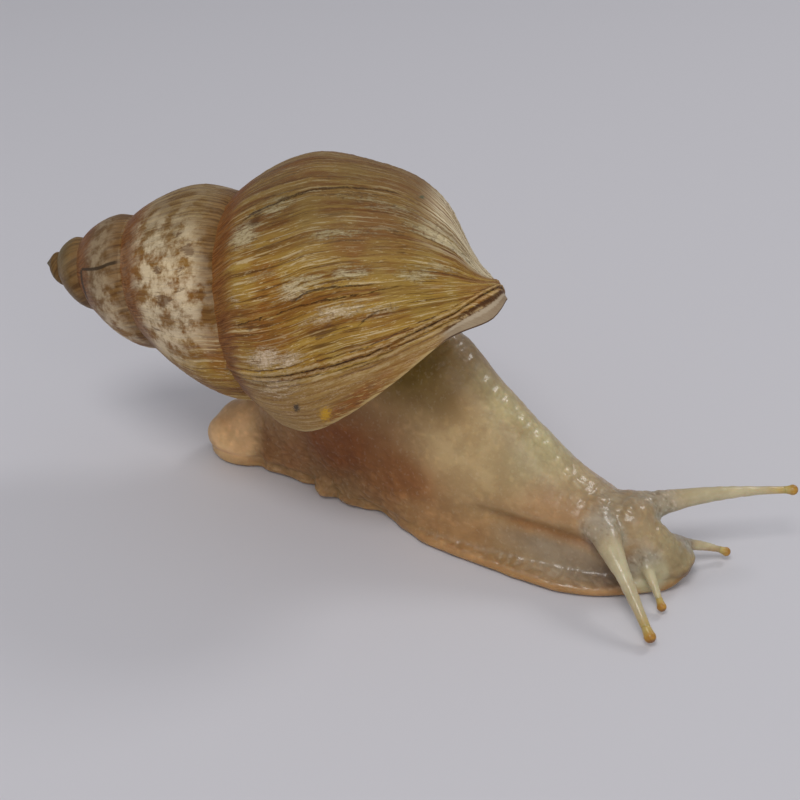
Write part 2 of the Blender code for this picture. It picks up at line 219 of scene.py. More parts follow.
def shell_points(n, phi, inset=0.0):
    step = 0.002
    turn = SUTURE_END + TURN * n + sweep(phi)
    radius, distance = generating_curve(n, phi)
    ahead = generating_curve(n, phi + step)
    behind = generating_curve(n, phi - step)
    normal = np.stack((ahead[1] - behind[1], behind[0] - ahead[0]))
    normal /= np.linalg.norm(normal, axis=0)
    return axis_points(distance - inset * normal[1], np.maximum(radius - inset * normal[0], 0.0), turn)


def spiral_run(n):
    """Distance in millimetres round the widest part of the whorls, back from the lip; n is negative."""
    steps = np.linspace(OLDEST, 0.05, 1200)
    reach = (CURVE_RADIUS + CURVE_HALF_WIDTH) * growth(steps)[0] * TURN
    total = np.concatenate(((0.0,), np.cumsum((reach[1:] + reach[:-1]) / 2 * np.diff(steps))))
    return np.interp(n, steps, total) - np.interp(0.0, steps, total)


def across(count, start, end):
    """Rows of angles from start to end, one row of values for each growth line."""
    share = np.linspace(0, 1, count + 1)[None, :]
    return np.asarray(start)[:, None] * (1 - share) + np.asarray(end)[:, None] * share


def down_from_suture(points):
    """Distance of each point from the first of its row, measured along the row."""
    length = np.linalg.norm(np.diff(points, axis=1), axis=2)
    return np.concatenate((np.zeros((len(points), 1)), np.cumsum(length, axis=1)), 1)


def growth_values(n, phi):
    """(run along the spiral, distance from the suture, distance from the whorl's front) all over a block."""
    down = down_from_suture(shell_points(np.broadcast_to(n[:, None], phi.shape), phi))
    return np.stack((np.broadcast_to(spiral_run(n)[:, None], phi.shape), down, down[:, -1:] - down), -1)


class ShellGrid:
    """Points and faces of the shell, block after block, closed behind the lip.

    coords has (run, distance from the suture, n, phi) of each point, and corners has the growth values of
    each face's corners, which belong to the face's own block.
    """

    def __init__(self, block_columns, rows_whorl, rows_front):
        self.points, self.coords, self.faces, self.corners = [], [], [], []
        self.count = 0
        lip_start, first_line, meet_lip = (float(v[0]) for v in suture([0.0]))
        n = np.linspace(first_line, 0.0, block_columns[0] + 1)
        own, older, meet = suture(n)
        seam = np.full(len(n), meet_lip)
        phi = np.concatenate((across(rows_whorl, own, seam),
                              across(rows_front, seam, np.full(len(n), FRONT_FOLD))[:, 1:]), 1)
        last = self.add(n, phi)
        last[0, rows_whorl] = last[-1, 0]
        self.patch(last, growth_values(n, phi))
        newer = last
        for columns in block_columns[1:]:
            ratio = (len(n) - 1) // columns
            n = older[::ratio]
            newer_meet = meet[::ratio]
            own, older, meet = suture(n)
            phi = across(rows_whorl, own, newer_meet)
            values = growth_values(n, phi)
            index = np.empty((columns + 1, rows_whorl + 1), int)
            index[:-1, :-1] = self.add(n[:-1], phi[:-1, :-1])
            index[:-1, -1] = newer[:-1:ratio, 0]
            index[-1, :] = newer[0, : rows_whorl + 1]
            self.patch(index[:, :-1] if ratio > 1 else index, values)
            if ratio > 1:
                self.zip_row(index, values, newer, ratio)
            newer = index
        self.close_apex(newer, float(spiral_run(n[0])))
        self.inner_from = self.count
        self.close_mouth(last, lip_start, rows_whorl)
        self.points = np.concatenate(self.points)
        self.coords = np.concatenate(self.coords)

    def add(self, n, phi, inset=0.0):
        n = np.broadcast_to(np.asarray(n)[:, None], phi.shape)
        points = shell_points(n, phi, inset)
        widest = np.exp(-((phi[:, 1:-1] - 0.15) / 0.45) ** 2)[..., None]
        for _ in range(12):  # rounds off the faint corner where the curve's halves meet
            points[:, 1:-1] += 0.5 * widest * (0.5 * (points[:, :-2] + points[:, 2:]) - points[:, 1:-1])
        index = self.count + np.arange(phi.size).reshape(phi.shape)
        self.points.append(points.reshape(-1, 3))
        self.coords.append(np.stack((spiral_run(n), down_from_suture(points), n, phi), -1).reshape(-1, 4))
        self.count += phi.size
        return index

    def single(self, point):
        self.points.append(np.array([point]))
        self.coords.append(np.array([(spiral_run(LONE_TURN), 0.0, LONE_TURN, 0.0)]))
        self.count += 1
        return self.count - 1

    def face(self, ring, values):
        """Adds a face, without the corners that fall together."""
        kept = {}
        for point, value in zip(ring, values):
            kept.setdefault(int(point), value)
        if len(kept) > 2:
            self.faces.append(list(kept))
            self.corners.append(list(kept.values()))

    def patch(self, index, values):
        for i in range(index.shape[0] - 1):
            for j in range(index.shape[1] - 1):
                places = ((i, j), (i, j + 1), (i + 1, j + 1), (i + 1, j))
                self.face([index[place] for place in places], [values[place] for place in places])

    def zip_row(self, index, values, newer, ratio):
        """The row that joins a block to a newer one with more columns."""
        last = len(index) - 2
        for i in range(last + 1):
            ring, ring_values = [index[i, -2]], [values[i, -2]]
            for k in range(ratio + 1):
                t = k / ratio
                ring.append(index[-1, -1] if i == last and k == ratio else newer[i * ratio + k, 0])
                ring_values.append(values[i, -1] * (1 - t) + values[i + 1, -1] * t)
            self.face(ring + [index[i + 1, -2]], ring_values + [values[i + 1, -2]])

    def close_apex(self, newest, run):
        tip = self.single(APEX + shell_axes()[0] * TIP_ALONG)
        ring = list(newest[:, 0]) + list(newest[0, -2:0:-1])
        for a, b in zip(ring, ring[1:] + ring[:1]):
            self.face((tip, a, b), ((run, 0.0, FAR_BACK),) * 3)

    def close_mouth(self, last, lip_start, rows_whorl):
        inside = (PAST_LIP, 0.0, FAR_BACK)
        inner = [last[-1]]
        count = len(last[-1])
        mouth = np.linspace(lip_start + MOUTH_MARGIN[0], FRONT_FOLD - MOUTH_MARGIN[1], count)
        edge = np.linspace(lip_start + EDGE_MARGIN, FRONT_FOLD - EDGE_MARGIN, count)
        for turn_back, inset, share in LIP_STEPS:
            rows = (edge * (1 - share) + mouth * share)[None, :]
            inner.append(self.add(np.array([-turn_back]), rows, inset)[0])
        for left, right in zip(inner, inner[1:]):
            for j in range(count - 1):
                self.face((left[j], left[j + 1], right[j + 1], right[j]), (inside,) * 4)
        centre = self.single(axis_points(*(np.array(value) for value in MOUTH_CENTRE)))
        loop = [column[0] for column in inner] + list(inner[-1][1:])
        loop += [column[-1] for column in inner[-2::-1]]
        loop += [column[-1] for column in last[-2::-1]] + list(last[0][-2: rows_whorl: -1])
        for a, b in zip(loop, loop[1:] + loop[:1]):
            self.face((centre, a, b), (inside,) * 3)


# ---- materials
class Value:
    """A number or colour of a material, so that its nodes can be written as sums."""

    def __init__(self, look, socket):
        self.look, self.socket = look, socket

    def math(self, operation, *inputs):
        return self.look.value("ShaderNodeMath", dict(enumerate(inputs)), operation=operation)

    def __add__(self, other):
        return self.math("ADD", self, other)

    def __sub__(self, other):
        return self.math("SUBTRACT", self, other)

    def __rsub__(self, other):
        return self.math("SUBTRACT", other, self)

    def __mul__(self, other):
        return self.math("MULTIPLY", self, other)

    def __abs__(self):
        return self.math("ABSOLUTE", self)

    def at_least(self, other):
        return self.math("MAXIMUM", self, other)

    def shaken(self, by, amount):
        """The value made uneven by a noise."""
        return self + (by - 0.5) * amount

    def span(self, low, high, to_low=0.0, to_high=1.0):
        """Goes smoothly from to_low, where the value is low, to to_high, where it is high."""
        return self.look.value("ShaderNodeMapRange", {0: self, 1: low, 2: high, 3: to_low, 4: to_high},
                               interpolation_type="SMOOTHSTEP")

    def parts(self):
        split = self.look.node("ShaderNodeSeparateXYZ", {0: self})
        return [Value(self.look, socket) for socket in split.outputs]

    def scaled(self, scale, shift=(0.0, 0.0, 0.0)):
        return self.look.value("ShaderNodeMapping", {"Vector": self, "Location": shift, "Scale": scale})

    def noise(self, scale=1.0, detail=2.0, rough=0.5):
        return self.look.value("ShaderNodeTexNoise", {"Vector": self, "Scale": scale, "Detail": detail,
                                                      "Roughness": rough}, "Fac")

    def curve(self, points):
        """A smooth curve through points, for a value from 0 to 1."""
        made = self.look.node("ShaderNodeFloatCurve", {"Value": self})
        line = made.mapping.curves[0]
        while len(line.points) < len(points):
            line.points.new(0.5, 0.5)
        for point, place in zip(line.points, points):
            point.location = place
        made.mapping.update()
        return Value(self.look, made.outputs[0])


class Look:
    """A node material, with short calls for its nodes; colour is what has been painted on it so far."""

    def __init__(self, name):
        self.material = bpy.data.materials.new(name)
        self.material.use_nodes = True
        self.tree = self.material.node_tree
        self.inputs = self.tree.nodes["Principled BSDF"].inputs
        self.colour = None

    def node(self, kind, inputs=None, **settings):
        made = self.tree.nodes.new(kind)
        for key, value in settings.items():
            setattr(made, key, value)
        for key, value in (inputs or {}).items():
            self.feed(made.inputs[key], value)
        return made

    def value(self, kind, inputs=None, output=0, **settings):
        return Value(self, self.node(kind, inputs, **settings).outputs[output])

    def feed(self, socket, value):
        if isinstance(value, Value):
            self.tree.links.new(value.socket, socket)
        elif isinstance(value, tuple) and len(value) == 3 and socket.type == "RGBA":
            socket.default_value = (*value, 1.0)
        else:
            socket.default_value = value

    def place(self):
        return self.value("ShaderNodeTexCoord", output="Object")

    def attribute(self, name, output="Fac"):
        return self.value("ShaderNodeAttribute", output=output, attribute_name=name)

    def mix(self, share, a, b, blend="MIX"):
        return self.value("ShaderNodeMix", {0: share, 6: a, 7: b}, 2, data_type="RGBA", blend_type=blend)

    def paint(self, share, tint, blend="MIX"):
        """Lays a colour over what is there, where share is over 0."""
        self.colour = self.mix(share, self.colour, tint, blend)

    def finish(self, bumps=(), **inputs):
        """Feeds the shader: its inputs, its colour and bumps of (height, distance in metres, strength)."""
        if self.colour:
            inputs["Base_Color"] = self.colour
        for name, value in inputs.items():
            self.feed(self.inputs[name.replace("_", " ")], value)
        for height, distance, strength in bumps:
            bump_inputs = {"Height": height, "Distance": distance, "Strength": strength}
            if self.inputs["Normal"].is_linked:
                bump_inputs["Normal"] = Value(self, self.inputs["Normal"].links[0].from_socket)
            self.feed(self.inputs["Normal"], self.value("ShaderNodeBump", bump_inputs))
        return self.material


# The old lip: distance from the suture, and run along the spiral.
REST_LINE = ((0, -18.0), (8, -16.5), (14, -15.0), (19.7, -13.2), (28.2, -9.9), (34.5, -7.9), (45.3, -5.2),
             (52, -3.4), (65, -2.6), (80, -2.2))
# Worn and stained places: streak, distance from the suture, half sizes along both, and strength.
WORN = (
    (-45, 8, 3, 4, 1.0), (-48.5, 15, 2.5, 5, 0.8), (-31.7, 21.6, 2.0, 5, 0.95), (-31.9, 31.8, 1.7, 4.5, 0.9),
    (-31, 45, 1.8, 4, 1.0), (-25.5, 30, 1.5, 6, 0.9), (-24.2, 38, 1.4, 4, 0.8), (-32.5, 5.7, 2, 3, 0.6),
    (-20.6, 12.6, 2.3, 4.5, 1.0), (-19.5, 18.5, 2, 4, 0.9), (-17.3, 23, 1.1, 4, 0.6),
    (-14.5, 14, 2.6, 6.5, 0.95), (-9.5, 24, 1.3, 5, 0.6), (-40, 27, 1.3, 6, 0.75), (-40.2, 35, 1.1, 5, 0.65),
    (-48.3, 31, 1.6, 6, 0.7), (-47, 39, 1.7, 8, 0.75), (-47.6, 52, 2.6, 7, 0.85), (-43.5, 50, 2.6, 8, 1.0),
    (-34, 51, 1.2, 4, 0.9), (-36, 12, 1.4, 6, 0.5), (-54, 24, 1.5, 8, 0.5), (-75, 22, 4, 9, 0.6),
    (-95, 25, 5, 10, 0.65), (-118, 20, 5, 9, 0.6), (-138, 26, 5, 9, 0.6), (-152, 12, 4, 6, 0.6),
    (-181.5, 12, 4.5, 7, 1.0), (-184, 5, 3, 4, 0.8), (-166.3, 14, 2.6, 7, 0.85), (-158, 12, 3, 7, 0.6),
    (-172, 6, 3, 3, 0.6), (-205, 10, 7, 7, 0.7), (-232, 9, 7, 6, 0.6),
)
STAINS = (
    (-174.6, 11.4, 1.1, 1.5, 0.9), (-169.3, 12.4, 1.5, 2.6, 1.0), (-177, 19.3, 1.7, 2.4, 0.9),
    (-174, 17.8, 0.8, 1.6, 0.8), (-180.5, 16.3, 0.7, 0.9, 0.9), (-171, 17, 0.8, 1.5, 0.6),
    (-163, 8, 1.2, 2.0, 0.6), (-47.4, 10.6, 1.5, 2.0, 1.0), (-40.5, 43, 1.8, 5, 0.62),
    (-36.6, 42.4, 1.8, 2.6, 0.5), (-27, 12, 1.4, 6, 0.5), (-22.4, 26, 1.4, 8, 0.7), (-37, 20, 2.2, 6, 0.35),
    (-36.5, 39.5, 2.4, 5, 0.45),
)
WORN_GROWTH = 1.4  # the worn places are so much larger than their half sizes


# ridges and grooves of the old lip: distance before it, half width, height
LIP_RIDGES = ((-0.65, 0.45, 0.30), (0.1, 0.22, -0.30), (0.75, 0.35, 0.18), (1.5, 0.25, -0.14))
BEAK = 2.7  # how far the lip is drawn out at its beak
SPIRE_FROM = float(spiral_run(-1.0))  # one turn behind the lip the next whorl covers the shell


def streak_of(run, down):
    """The growth streak that passes through a place: they lean back more, the farther from the suture."""
    below = np.maximum(down - 5.0, 0.0)
    lean = below * (0.36 + 0.0035 * below)
    visible = np.maximum(run, -52.0)
    return run - visible + (visible - 0.35 * lean) / (1 - np.minimum(lean, 44.0) / 68.0)


def growth_marks(run, down):
    """Signed run from the old lip, how worn and how stained the surface is, and its growth streak."""
    at, distance = np.array(REST_LINE, float).T
    streak = streak_of(run, down)

    def marked(places, grow):
        return np.max([strength * bump(streak, s, grow * ds) * bump(down, v, grow * dv)
                       for s, v, ds, dv, strength in places], 0)

    return run - np.interp(down, at, distance), marked(WORN, WORN_GROWTH), marked(STAINS, 1.0), streak


def shell_relief(run, down, n, position):
    """How far the surface stands out of its smooth form, in millimetres."""
    rest, worn, stained, streak = growth_marks(run, down)
    size = np.clip(np.exp(0.35 * n), 0.1, 1.0)
    lines = 0.055 * noise_at(np.stack((streak / 0.95, down / 16), 1), 1) + 0.06 * noise_at(streak / 2.3, 2)
    lines += 0.035 * noise_at(np.stack((streak / 0.55, down / 9), 1), 3)
    folds = 0.16 * noise_at(np.stack((streak / 8.0, down / 30), 1), 4) + 0.22 * noise_at(position / 13.0, 5)
    height = size * (lines * (1 - 0.5 * worn) + folds)
    height -= 0.09 * np.maximum(worn, stained) * smooth(noise_at(position / 1.1, 6), -0.1, 0.25)
    # the old lip, the step down in front of it, and the crack behind it
    near = n > -0.3
    for middle, width, rise in LIP_RIDGES:
        height += near * rise * bump(rest, middle, width)
    height -= near * 0.25 * smooth(rest, -0.2, 1.2) * smooth(-run, 0.0, 3.0)
    height -= 0.14 * size * bump(streak, -49.5, 0.35) * smooth(down, 4, 9) * smooth(-down, -46, -40)
    height += size * (0.05 + 0.07 * worn) * noise_at(position / 0.9, 8)
    height += 0.14 * size * noise_at(run / 1.4, 7) * np.exp(-down / 1.6)
    at_beak = smooth(down, 47.0, 55.0) * smooth(-down, -78.0, -62.0)
    return height * (1 - near * at_beak * smooth(run, -2.0, -1.2))


def make_mesh(name, points, faces):
    mesh = bpy.data.meshes.new(name)
    mesh.from_pydata((np.asarray(points) * MM).tolist(), [], faces)
    made = bpy.data.objects.new(name, mesh)
    bpy.context.scene.collection.objects.link(made)
    mesh.shade_smooth()
    return made


def face_outwards(mesh):
    work = bmesh.new()
    work.from_mesh(mesh)
    bmesh.ops.recalc_face_normals(work, faces=work.faces)
    work.to_mesh(mesh)
    work.free()


def rows_of(data, name, width, kind=np.float32):
    """One value of all the items in a mesh's list, as the rows of an array."""
    values = np.empty(len(data) * width, kind)
    data.foreach_get(name, values)
    return values.reshape(-1, width)


def vertex_normals(mesh):
    return rows_of(mesh.vertex_normals, "vector", 3).astype(float)


def set_points(mesh, points):
    mesh.vertices.foreach_set("co", (np.asarray(points) * MM).astype(np.float32).ravel())
    mesh.update()


def get_points(mesh):
    return rows_of(mesh.vertices, "co", 3).astype(float) / MM


def set_attribute(mesh, name, values):
    values = np.asarray(values, np.float32)
    if values.ndim == 1:
        mesh.attributes.new(name, "FLOAT", "POINT").data.foreach_set("value", values)
    else:
        values = np.concatenate((values, np.ones((len(values), 1), np.float32)), 1)
        mesh.attributes.new(name, "FLOAT_COLOR", "POINT").data.foreach_set("color", values.ravel())


def draw_out_beak(grid):
    """Draws the lip forward at its beak, where the pale inner side shows beneath the edge."""
    run, down, n, phi = grid.coords.T
    near = np.flatnonzero((n > -0.05) & (phi > 0.0))
    lip = shell_points(np.zeros(len(near)), phi[near])
    ahead = lip - shell_points(np.full(len(near), -0.004), phi[near])
    ahead /= np.linalg.norm(ahead, axis=1)[:, None]
    reach = BEAK * smooth(down[near], 48.0, 60.0) * smooth(-phi[near], -1.7, -1.2)
    grid.points[near] += ahead * (reach * smooth(run[near], -3.0, 0.0))[:, None]


def build_shell_piece():
    grid = ShellGrid(BLOCK_COLUMNS, ROWS_WHORL, ROWS_FRONT)
    draw_out_beak(grid)
    faces = [face[::-1] for face in grid.faces]
    corners = np.array([value for values in grid.corners for value in values[::-1]])
    made = make_mesh("shell_visual", grid.points, faces)
    mesh = made.data
    run, down, n, _ = grid.coords.T
    inside = np.arange(len(run)) >= grid.inner_from
    relief = np.where(inside, 0.0, shell_relief(run, down, n, grid.points))
    set_points(mesh, grid.points + vertex_normals(mesh) * relief[:, None])
    run, down, to_front = corners.T
    rest, worn, stained, streak = growth_marks(run, down)
    for name, pair in zip(SHELL_MAPS, ((run, down), (streak, down), (rest, worn), (stained, to_front))):
        mesh.uv_layers.new(name=name).data.foreach_set("uv", np.stack(pair, 1).astype(np.float32).ravel())
    set_attribute(mesh, "turns", n)
    set_attribute(mesh, "inner", inside.astype(float))
    mesh.materials.append(shell_look())
    return made


# ---- the shell's colours
SHELL_MAPS = ("growth", "streaks", "marks", "stains")
# noises drawn out along the growth lines: scale across and along them, detail, roughness, shift
GROWTH_NOISES = {
    "broad": ((0.42, 0.022), 4.0, 0.6),
    "fine": ((1.7, 0.05), 4.0, 0.62),
    "hair": ((3.6, 0.30), 4.0, 0.65),
    "thread": ((2.6, 0.36), 3.0, 0.6, (7.0, 3.0, 0.0)),
    "long_thread": ((2.2, 0.07), 2.0, 0.5, (3.0, 9.0, 0.0)),
    "flake": ((1.35, 0.24), 5.0, 0.68),
    "chip": ((3.2, 1.5), 3.0, 0.65),
}
# single spots: run and distance from the suture, size, colour
SPOTS = (((-2.6, 23.4), 1.9, (0.66, 0.36, 0.02)), ((-6.8, 17.3), 1.2, (0.04, 0.032, 0.03)),
         ((-31.9, 44.7), 0.9, (0.10, 0.13, 0.06)))
# lines along the old lip: distance before it, half width, colour, strength
LIP_LINES = (
    (-0.75, 0.34, (0.62, 0.43, 0.20), 0.85), (-0.1, 0.24, (0.04, 0.014, 0.005), 0.95),
    (0.4, 0.30, (0.62, 0.42, 0.20), 0.8), (0.95, 0.20, (0.07, 0.028, 0.008), 0.8),
    (1.5, 0.36, (0.60, 0.42, 0.20), 0.75), (2.2, 0.26, (0.12, 0.05, 0.012), 0.6),
    (-1.4, 0.20, (0.08, 0.03, 0.008), 0.8), (3.0, 0.4, (0.58, 0.42, 0.20), 0.5),
)
# cracks: distance from the suture and streak at each point, start, end, half width
CRACKS = (
    (((6, -48.2), (12, -49.2), (18, -49.8), (27, -50.5), (40, -51.5)), 5, 38, 0.30),
    (((19, -30.2), (21, -29.6), (24, -30.2), (30, -29.8), (41, -29.2)), 19.5, 36, 0.24),
    (((4, -27.5), (12, -28.2), (20, -28.4), (30, -27.8), (41, -28.4)), 6, 40, 0.18),
    (((32, -20.6), (34, -22.2), (36, -23.4), (38, -24.0), (40, -24.2)), 33, 38.5, 0.20),
)
CRACK_DOWN, CRACK_STREAK = 80.0, 60.0  # reach of a crack's curve, which runs from 0 to 1


def shell_values(look):
    """What the shell's colours are made from: places on it, its marks, noises, and where its zones lie."""
    maps = {name: look.value("ShaderNodeUVMap", uv_map=name) for name in SHELL_MAPS}
    at = SimpleNamespace(growth=maps["growth"], place=look.place(), turns=look.attribute("turns"))
    at.run, at.down, _ = maps["growth"].parts()
    at.streak = maps["streaks"].parts()[0]
    at.rest, at.worn, _ = maps["marks"].parts()
    at.stained, at.to_front, _ = maps["stains"].parts()
    at.height = at.place.parts()[2]
    for name, (scale, detail, rough, *shift) in GROWTH_NOISES.items():
        setattr(at, name, maps["streaks"].scaled((*scale, 1.0), *shift).noise(1.0, detail, rough))
    at.cloud = at.place.noise(90.0, 3.0, 0.55)
    amount = at.worn * 0.46
    shares = ((at.flake, 0.75), (at.fine, 0.55), (at.hair, 0.5), (at.chip, 0.2), (at.cloud, 0.15))
    for noise_value, share in shares:
        amount = amount.shaken(noise_value, share)
    at.pale = amount.span(0.22, 0.50)
    at.spire = at.run.span(SPIRE_FROM, SPIRE_FROM - 12.0)
    at.last_whorl = at.turns.span(-0.3, -0.25)
    at.pale_side = at.down.span(43.0, 50.0) * at.streak.span(-37.0, -43.0)
    at.beak = at.down.span(47.5, 51.0) * at.down.span(72.0, 66.0) * at.last_whorl
    at.beak_run = at.run.shaken(at.chip, 0.5)
    at.beak_strip = at.beak * at.beak_run.span(-1.75, -1.6)
    at.broken = (at.flake + at.chip * 0.6).span(0.66, 0.86)
    return at


def paint_growth_lines(look, at):
    look.colour = look.mix(at.broad.span(0.38, 0.62), (0.235, 0.090, 0.011), (0.45, 0.26, 0.042))
    look.paint(at.cloud.span(0.48, 0.66) * 0.7, (0.31, 0.112, 0.014))
    look.paint(at.cloud.span(0.46, 0.32) * 0.55, (0.38, 0.245, 0.045))
    look.paint(at.fine.span(0.53, 0.68) * 0.7, (0.50, 0.33, 0.085))
    look.paint(at.fine.span(0.465, 0.35) * 0.8, (0.10, 0.036, 0.006))
    look.paint(at.hair.span(0.55, 0.70) * 0.65, (0.58, 0.40, 0.11))
    look.paint(at.hair.span(0.43, 0.33) * 0.6, (0.11, 0.042, 0.008))
    # pale threads, broken into dashes
    dashes = at.thread.span(0.57, 0.67) * at.chip.span(0.38, 0.54)
    dashes = dashes.at_least(at.long_thread.span(0.57, 0.635) * at.flake.span(0.38, 0.50))
    look.paint(dashes * at.broad.span(0.36, 0.58, 0.12, 1.0) * 0.8, (0.74, 0.58, 0.32))
    look.paint(at.pale_side * at.fine.span(0.41, 0.57) * 0.95, (0.90, 0.80, 0.56))
    # painted sky sheen: greyer brown towards the top of the shell, by height
    look.paint(at.height.span(0.050, 0.062) * at.broad.span(0.2, 0.6) * 0.30, (0.30, 0.20, 0.11))


def paint_flakes(look, at):
    """Pale places where the brown skin of the shell has worn off."""
    colour = look.mix(at.chip.span(0.34, 0.64), (0.58, 0.41, 0.23), (0.82, 0.66, 0.48))
    colour = look.mix(at.spire * at.fine.span(0.6, 0.4), colour, (0.50, 0.46, 0.31))
    colour = look.mix(at.height.span(0.045, 0.053) * 0.6, colour, (0.60, 0.52, 0.27))
    look.paint(at.pale * 0.88, colour)
    look.paint(at.worn.span(0.25, 0.7) * at.place.noise(1500.0).span(0.58, 0.66) * 0.45, (0.17, 0.08, 0.03))


def paint_spire(look, at):
    """Cream and brown mottling, brown on top, then a dark green-brown tip; and the stains."""
    mottle = at.place.noise(330.0, 4.0, 0.65)
    look.paint(at.spire * 0.75, look.mix(mottle.span(0.38, 0.60), (0.24, 0.105, 0.022), (0.86, 0.71, 0.48)))
    look.paint(at.spire * at.height.shaken(at.cloud, 0.02).span(0.0475, 0.054) * 0.8,
               look.mix(at.fine.span(0.38, 0.62), (0.15, 0.075, 0.018), (0.34, 0.22, 0.08)))
    look.paint(at.turns.span(-1.95, -2.2) * 0.8,
               look.mix(mottle.span(0.35, 0.65), (0.12, 0.068, 0.028), (0.26, 0.18, 0.098)))
    look.paint(at.turns.span(-2.8, -3.4) * 0.9, look.mix(mottle, (0.07, 0.055, 0.016), (0.25, 0.20, 0.085)))
    look.paint(at.stained.shaken(at.flake, 2.4).span(0.40, 0.75) * 0.7, (0.125, 0.05, 0.012))


def paint_newest_band(look, at):
    """The band between the old lip and the edge, with a red-brown stain and a light rim."""
    band = look.mix(at.fine.span(0.35, 0.7), (0.295, 0.153, 0.038), (0.45, 0.275, 0.09))
    band = look.mix(at.hair.span(0.55, 0.7) * 0.4, band, (0.58, 0.42, 0.20))
    band = look.mix(at.flake.span(0.46, 0.58) * 0.55 * at.chip.span(0.42, 0.58), band, (0.62, 0.44, 0.26))
    look.paint(at.rest.span(0.9, 2.4) * at.last_whorl * at.pale.span(0.2, 0.9, 1.0, 0.15) * 0.8, band)
    stain = look.mix(at.hair.span(0.42, 0.56), (0.13, 0.035, 0.008), (0.28, 0.088, 0.014))
    stain = look.mix(at.thread.span(0.54, 0.62) * 0.8, stain, (0.55, 0.36, 0.12))
    place = at.run.shaken(at.broad, 4.0).span(-4.6, -2.2) * at.down.span(19.0, 27.0)
    place = place * at.down.span(46.0, 31.0) * (at.hair + at.fine * 0.8).span(0.66, 0.94)
    look.paint(place * 0.85, stain)
    look.paint(at.run.span(-0.8, -0.3) * at.fine.span(0.35, 0.55) * at.down.span(49.0, 46.0) * 0.85,
               (0.56, 0.40, 0.17))


def paint_beak(look, at):
    look.paint(at.beak_strip, look.mix(at.cloud.span(0.35, 0.65), (0.27, 0.18, 0.105), (0.41, 0.31, 0.20)))
    look.paint(abs(at.beak_run + 1.35).span(0.3, 0.1) * at.beak_strip * 0.6, (0.56, 0.46, 0.33))
    dark_rim = at.beak * at.beak_run.span(-2.4, -2.1) * at.beak_run.span(-1.55, -1.7)
    look.paint(dark_rim.at_least(at.beak * at.run.span(-0.35, -0.15)) * 0.85, (0.08, 0.03, 0.010))


def paint_spots(look, at):
    for middle, size, tint in SPOTS:
        ends = {0: at.growth, 1: (*middle, 0.0)}
        far = look.value("ShaderNodeVectorMath", ends, "Value", operation="DISTANCE")
        look.paint(far.shaken(at.chip, size * 2.4).span(size, size * 0.3) * 0.85, tint)


def paint_old_lip(look, at):
    rest = at.rest.shaken(at.growth.scaled((0.1, 0.5, 1.0)).noise(), 0.5)
    for middle, width, tint, strength in LIP_LINES:
        line = abs(rest - middle).span(width, width * 0.3) * at.last_whorl * at.broken
        look.paint(line * (1.0 - at.beak_strip) * strength, tint)


def paint_cracks(look, at):
    """Cracks that run with the growth lines. Gives back where they are."""
    crack = None
    for points, start, end, width in CRACKS:
        places = [(down / CRACK_DOWN, 1 + streak / CRACK_STREAK) for down, streak in points]
        curve = (at.down * (1 / CRACK_DOWN)).curve(places)
        off = abs((at.streak - (curve * CRACK_STREAK - CRACK_STREAK)).shaken(at.flake, 2.2))
        length = at.down.span(start, start + 2) * at.down.span(end + 4, end - 4)
        made = off.span(width, width * 0.4) * length * at.broken
        crack = made if crack is None else crack.at_least(made)
    look.paint(crack * 0.72, (0.06, 0.022, 0.008))
    return crack


def paint_sutures(look, at):
    """The red-brown valley of the suture with painted shade in it, the painted shade above it, and a dark
    line across the third whorl.
    """
    # painted shade in the suture's valley, over its own red-brown colour
    look.paint(at.down.shaken(at.fine, 5.0).span(7.5, 2.5) * at.turns.span(-3.6, -2.5) * 0.85,
               look.mix(at.hair.span(0.4, 0.6), (0.13, 0.036, 0.006), (0.27, 0.10, 0.022)))
    # painted shade where each older whorl runs in under the next one, by distance from its front
    look.paint(at.to_front.shaken(at.flake, 5.0).span(6.0, 0.5) * at.spire * 0.8,
               look.mix(at.fine.span(0.4, 0.6), (0.10, 0.04, 0.008), (0.22, 0.11, 0.03)))
    # the line goes along the suture, then bends and crosses to the next one
    crossing = abs(at.run - (at.down * 0.53 - 269.4)).span(0.42, 0.18)
    crossing = crossing * at.down.span(2.6, 3.2) * at.down.span(15.5, 14.0)
    beside = at.down.span(3.4, 3.0) * at.down.span(2.0, 2.4)
    beside = beside * at.run.span(-268.2, -267.4) * at.run.span(-259.0, -261.0)
    look.paint(crossing.at_least(beside) * 0.9, (0.045, 0.025, 0.01))


def shell_look():
    """Worn brown shell: growth streaks, pale flaked places, cracks, the old lip and the fresh edge, with
    painted shade on the top and at the sutures and a painted sky sheen on the top.
    """
    look = Look("weathered_shell")
    at = shell_values(look)
    for paint in (paint_growth_lines, paint_flakes, paint_spire, paint_newest_band, paint_beak, paint_spots):
        paint(look, at)
    # painted shade: the top of the shell darkened by height, except on the pale side
    look.paint(at.height.span(0.048, 0.062) * (1.0 - at.pale_side), (0.66, 0.66, 0.66), "MULTIPLY")
    paint_old_lip(look, at)
    crack = paint_cracks(look, at)
    paint_sutures(look, at)
    look.paint(look.attribute("inner"), (0.60, 0.54, 0.46))
    bumps = ((at.fine, 0.00025, 0.6), (at.hair, 0.00018, 0.7), (at.pale, 0.00016, 0.5),
             (at.chip, 0.00008, 0.6), (1.0 - crack, 0.0003, 0.9))
    return look.finish(bumps, Roughness=at.pale.span(0.0, 1.0, 0.46, 0.7), Specular_IOR_Level=0.2)


